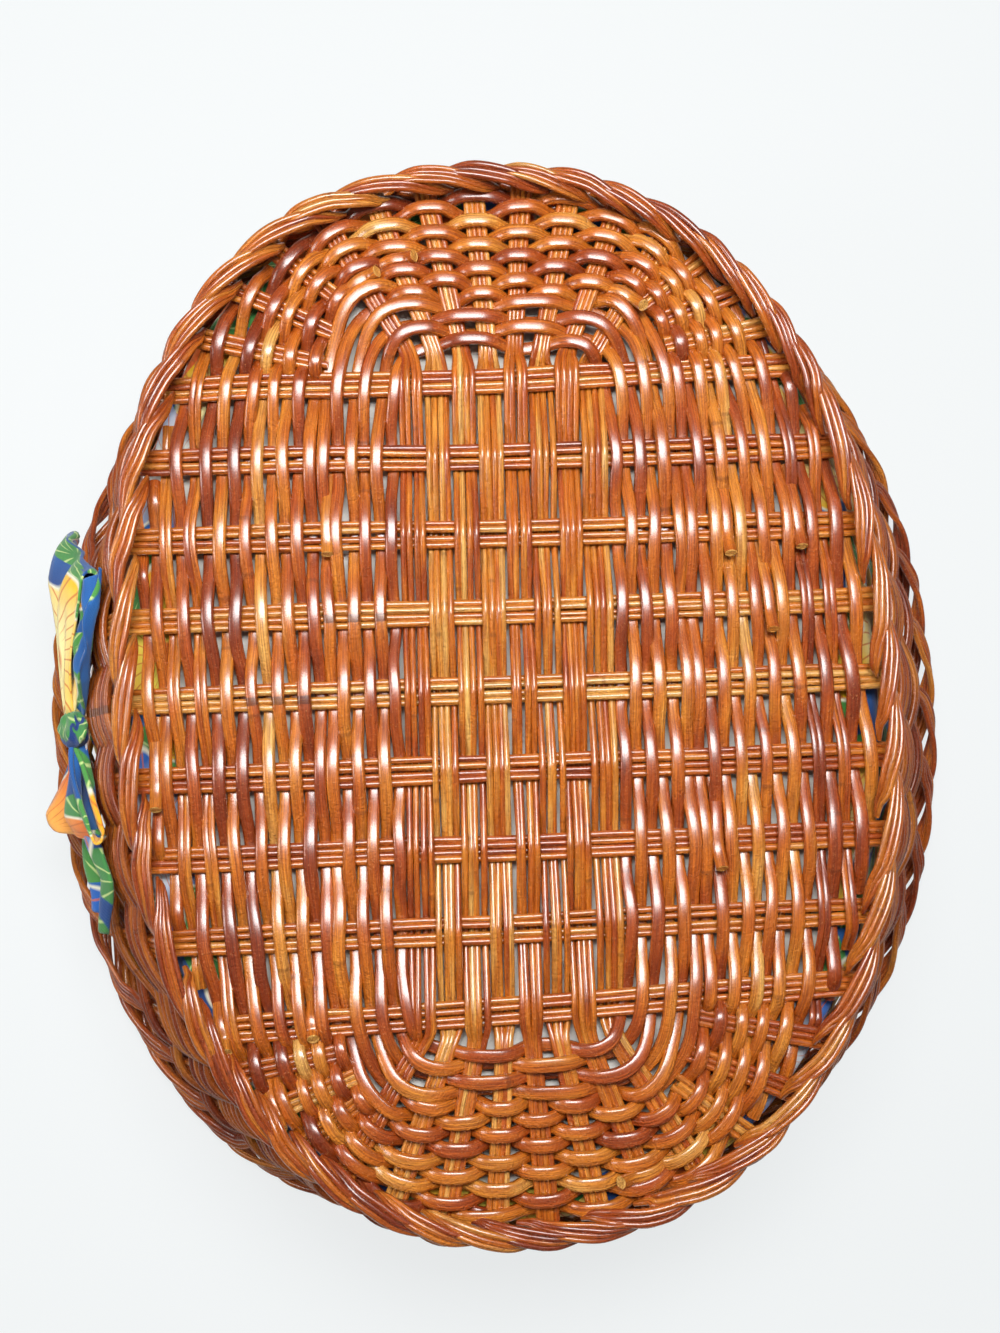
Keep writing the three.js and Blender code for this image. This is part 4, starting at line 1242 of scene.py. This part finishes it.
upper_tail = tail_place(1, 34.0, 5, (38, 28, 22, 18, 17), (3, 5, 6, 6, 5), 1.0)
lower_tail = tail_place(-1, 48.0, 9, (38, 37, 33, 34, 39), (3, 5, 9, 9, 3), 2.0)
for name, place, cut_at in (
        ("bow_loop_upper", loop_place(1, 43.0, 0.18, 14.0, 3), (0.372, 0.222)),
        ("bow_loop_lower", loop_place(-1, 24.0, -0.1, 13.0, 8), (0.222, 0.16)),
        ("bow_tail_upper", upper_tail, (0.195, 0.262)), ("bow_tail_lower", lower_tail, (0.105, 0.262))):
    strip, flat, area = cloth_sheet(name + "_cloth", 22, 70, place, printed_finish, name,
                                    thickness=0.6, cut_at=cut_at)


# %% The knot and the tie
WRAP_CUT_AT = (0.121, 0.04)


def wrapped(name, rings, node):
    """A soft closed form through rings of points, made from one ring that is extruded along."""
    builder = bmesh.new()
    layer = builder.loops.layers.uv.new("cloth")
    circle = bmesh.ops.create_circle(builder, segments=len(rings[0]), radius=1.0, cap_ends=False)["verts"]
    put_at(circle, rings[0])
    edges = first = list(builder.edges)
    for ring in rings[1:]:
        grown = bmesh.ops.extrude_edge_only(builder, edges=edges)["geom"]
        edges = [part for part in grown if isinstance(part, bmesh.types.BMEdge)]
        put_at([part for part in grown if isinstance(part, bmesh.types.BMVert)], ring)
    for end in (first, edges):
        bmesh.ops.contextual_create(builder, geom=end)
    bmesh.ops.recalc_face_normals(builder, faces=builder.faces)
    for face in builder.faces:
        for loop in face.loops:
            x, y, z = loop.vert.co
            loop[layer].uv = (y + WRAP_CUT_AT[0], z + x + WRAP_CUT_AT[1])
    piece = placed(name, mesh_from(builder, name), printed_finish, node)
    smooth = piece.modifiers.new("soft", "SUBSURF")
    smooth.levels = smooth.render_levels = 1
    print(f"{name}: {len(rings)} rings")


def oval_ring(centre, first, second, sides, folds, phase):
    """A ring round a centre, with two half widths as vectors and a few folds."""
    angle = (np.arange(sides) + 0.5) / sides * 2 * np.pi
    swell = 1 + folds * np.sin(5 * angle + phase) + folds * 0.7 * np.sin(9 * angle - 2 * phase)
    return centre + np.outer(np.cos(angle) * swell, first) + np.outer(np.sin(angle) * swell, second)


KNOT_DEPTH, KNOT_LENGTH, KNOT_HALF_THICK, KNOT_HALF_HIGH = 3.4, 5.6, 3.7, 6.6
knot_spot, knot_out = (found[0] for found in outside_wall(
    np.array([BOW_Y]), np.array([BOW_Z]), np.array([KNOT_DEPTH])))
knot_up = up_wall(np.array([BOW_Y]), np.array([BOW_Z]))[0]
knot_along = np.cross(knot_up, knot_out)
knot_rings = []
for place in np.linspace(-1, 1, 13):
    girth = (1 - 0.62 * place ** 4) * (0.94 + 0.06 * math.cos(5 * place))
    centre = knot_spot + knot_along * place * KNOT_LENGTH + knot_up * (1.2 * math.sin(3 * place) - 2.0)
    knot_rings.append(oval_ring(centre, knot_out * girth * KNOT_HALF_THICK, knot_up * girth * KNOT_HALF_HIGH,
                                28, 0.17, 3 * place))
wrapped("bow_knot_cloth", knot_rings, "bow_knot")

# the tie comes out between the first and the last stake, and ends at the knot's back
TIE_Y, TIE_Z, TIE_START_DEPTH, TIE_END_DEPTH = -8.9, 45.35, 4.4, 4.6
tie_x = (wall_point(0, TIE_Z) * 0.5 + wall_point(-1, TIE_Z) * 0.5)[0]
tie_start = np.array([tie_x, TIE_Y, TIE_Z]) - knot_out * TIE_START_DEPTH
tie_end = knot_spot - knot_out * TIE_END_DEPTH
tie_half_width, tie_half_thick = np.array([0, 3.2, 0]), np.array([0, 0, 1.15])
tie_rings = [oval_ring(tie_start * (1 - place) + tie_end * place, tie_half_width, tie_half_thick, 20, 0.05,
                       2 * place) for place in np.linspace(0, 1, 7)]
wrapped("liner_tie_cloth", tie_rings, "liner_tie")

# %% [markdown]
# ## Stage, light and camera
# The photograph was taken straight at the base, with the basket upside down on a white table. In
# the model's frame the camera is therefore under the basket and looks up. The floor for the
# upright views is one-sided and shows to the camera alone, so that it neither hides nor darkens
# the base. A second such plane above the rim is the table. It is seen from well below only, so
# that it doesn't hang over the basket in a side view. Both fade into the room's colour far away.

# %% The floor and the table
ROOM = (0.93, 0.94, 0.95, 1)


def stage_plane(name, height, size, facing, colour, glow, steepest):
    """A plane for the camera alone, seen from one side.

    Glow is how much of its colour is there without any lamp. Far away it takes the room's colour,
    and past the steepest slant it isn't seen."""
    builder = bmesh.new()
    bmesh.ops.create_grid(builder, x_segments=1, y_segments=1, size=size)
    if facing < 0:
        bmesh.ops.reverse_faces(builder, faces=builder.faces)
    bmesh.ops.translate(builder, verts=builder.verts, vec=(0, 0, height))
    mesh = mesh_from(builder, name)
    material, tree = new_material(name)
    tree.nodes.clear()
    path = add_node(tree, "ShaderNodeLightPath")
    front = math_node(tree, "SUBTRACT", 1.0, add_node(tree, "ShaderNodeNewGeometry").outputs["Backfacing"])
    seen = math_node(tree, "MULTIPLY", path.outputs["Is Camera Ray"], front)
    slant = add_node(tree, "ShaderNodeLayerWeight", {"Blend": 0.5}).outputs["Facing"]
    seen = math_node(tree, "MULTIPLY", seen, math_node(tree, "LESS_THAN", slant, steepest))
    here = add_node(tree, "ShaderNodeTexCoord").outputs["Object"]
    away = add_node(tree, "ShaderNodeVectorMath", {0: here}, operation="LENGTH").outputs["Value"]
    far = spread(tree, away, 0.6, 2.6)
    matt = add_node(tree, "ShaderNodeBsdfDiffuse", {"Color": colour})
    bright = add_node(tree, "ShaderNodeEmission", {"Color": mix_colour(tree, far, colour, ROOM)})
    paint = add_node(tree, "ShaderNodeMixShader", {
        0: math_node(tree, "ADD", glow, math_node(tree, "MULTIPLY", far, 1 - glow)), 1: matt.outputs[0],
        2: bright.outputs[0]})
    clear = add_node(tree, "ShaderNodeBsdfTransparent")
    mixed = add_node(tree, "ShaderNodeMixShader", {0: seen, 1: clear.outputs[0], 2: paint.outputs[0]})
    add_node(tree, "ShaderNodeOutputMaterial", {0: mixed.outputs[0]})
    mesh.materials.append(material)
    plane = bpy.data.objects.new(name, mesh)
    bpy.context.scene.collection.objects.link(plane)
    print(name, "at", height * 1000, "mm")


stage_plane("floor", 0.0, 4.0, 1, (0.86, 0.86, 0.86, 1), 0.75, 1.1)
stage_plane("table", 0.082, 0.45, -1, (0.875, 0.9, 0.905, 1), 0.86, 0.6)

# %% The world and the lamps
world = bpy.data.worlds.new("pale room")
bpy.context.scene.world = world
world.use_nodes = True
tree = world.node_tree
tree.nodes.clear()
rays = add_node(tree, "ShaderNodeLightPath").outputs
mirrored = math_node(tree, "MAXIMUM", rays["Is Glossy Ray"], rays["Is Transmission Ray"])
shown = math_node(tree, "MAXIMUM", rays["Is Camera Ray"], mirrored)
facing = parts_of(tree, add_node(tree, "ShaderNodeTexCoord").outputs["Generated"])
room = spread(tree, facing[2], 0.0, 0.7, 0.1, 1.0)
room = math_node(tree, "MAXIMUM", room, rays["Is Camera Ray"])
strength = spread(tree, shown, 0.0, 1.0, 0.17, room)
light = add_node(tree, "ShaderNodeBackground", {"Color": ROOM, "Strength": strength})
add_node(tree, "ShaderNodeOutputWorld", {0: light.outputs[0]})


def lamp(name, place, target, size, power):
    data = bpy.data.lights.new(name, "AREA")
    data.shape, data.size, data.size_y, data.energy = "RECTANGLE", size[0], size[1], power
    made = bpy.data.objects.new(name, data)
    made.location = place
    made.rotation_euler = (Vector(target) - Vector(place)).to_track_quat("-Z", "Y").to_euler()
    made.visible_glossy = place[2] < 0
    bpy.context.scene.collection.objects.link(made)
    print(name, power, "W")


lamp("window below", (-0.01, 0.17, -0.52), (0, 0.04, 0), (0.36, 0.2), 4.9)
lamp("card beside the bow", (0.42, 0.05, -0.26), (0.12, 0, 0.04), (0.16, 0.16), 0.7)
lamp("softbox above", (0.5, -0.9, 1.3), (0, 0, 0.03), (0.9, 0.9), 16)
lamp("softbox beside", (-1.0, 0.5, 0.9), (0, 0, 0.03), (0.8, 0.8), 8)

# %% The camera
camera_data = bpy.data.cameras.new("camera")
camera_data.lens, camera_data.sensor_width = 38.03, 36
camera_data.clip_start, camera_data.clip_end = 0.01, 20
camera = bpy.data.objects.new("camera", camera_data)
to_right, to_top, to_back = ((-0.996757, -0.069545, -0.04048), (-0.066106, 0.994533, -0.080837),
                             (0.045881, -0.077899, -0.995905))
turned_to = Matrix((to_right, to_top, to_back)).transposed().to_4x4()
camera.matrix_world = Matrix.Translation((0.01869, -0.02228, -0.35156)) @ turned_to
bpy.context.scene.collection.objects.link(camera)
bpy.context.scene.camera = camera
bpy.context.scene.view_settings.view_transform = "Standard"
print("camera with a lens of", camera_data.lens, "mm")
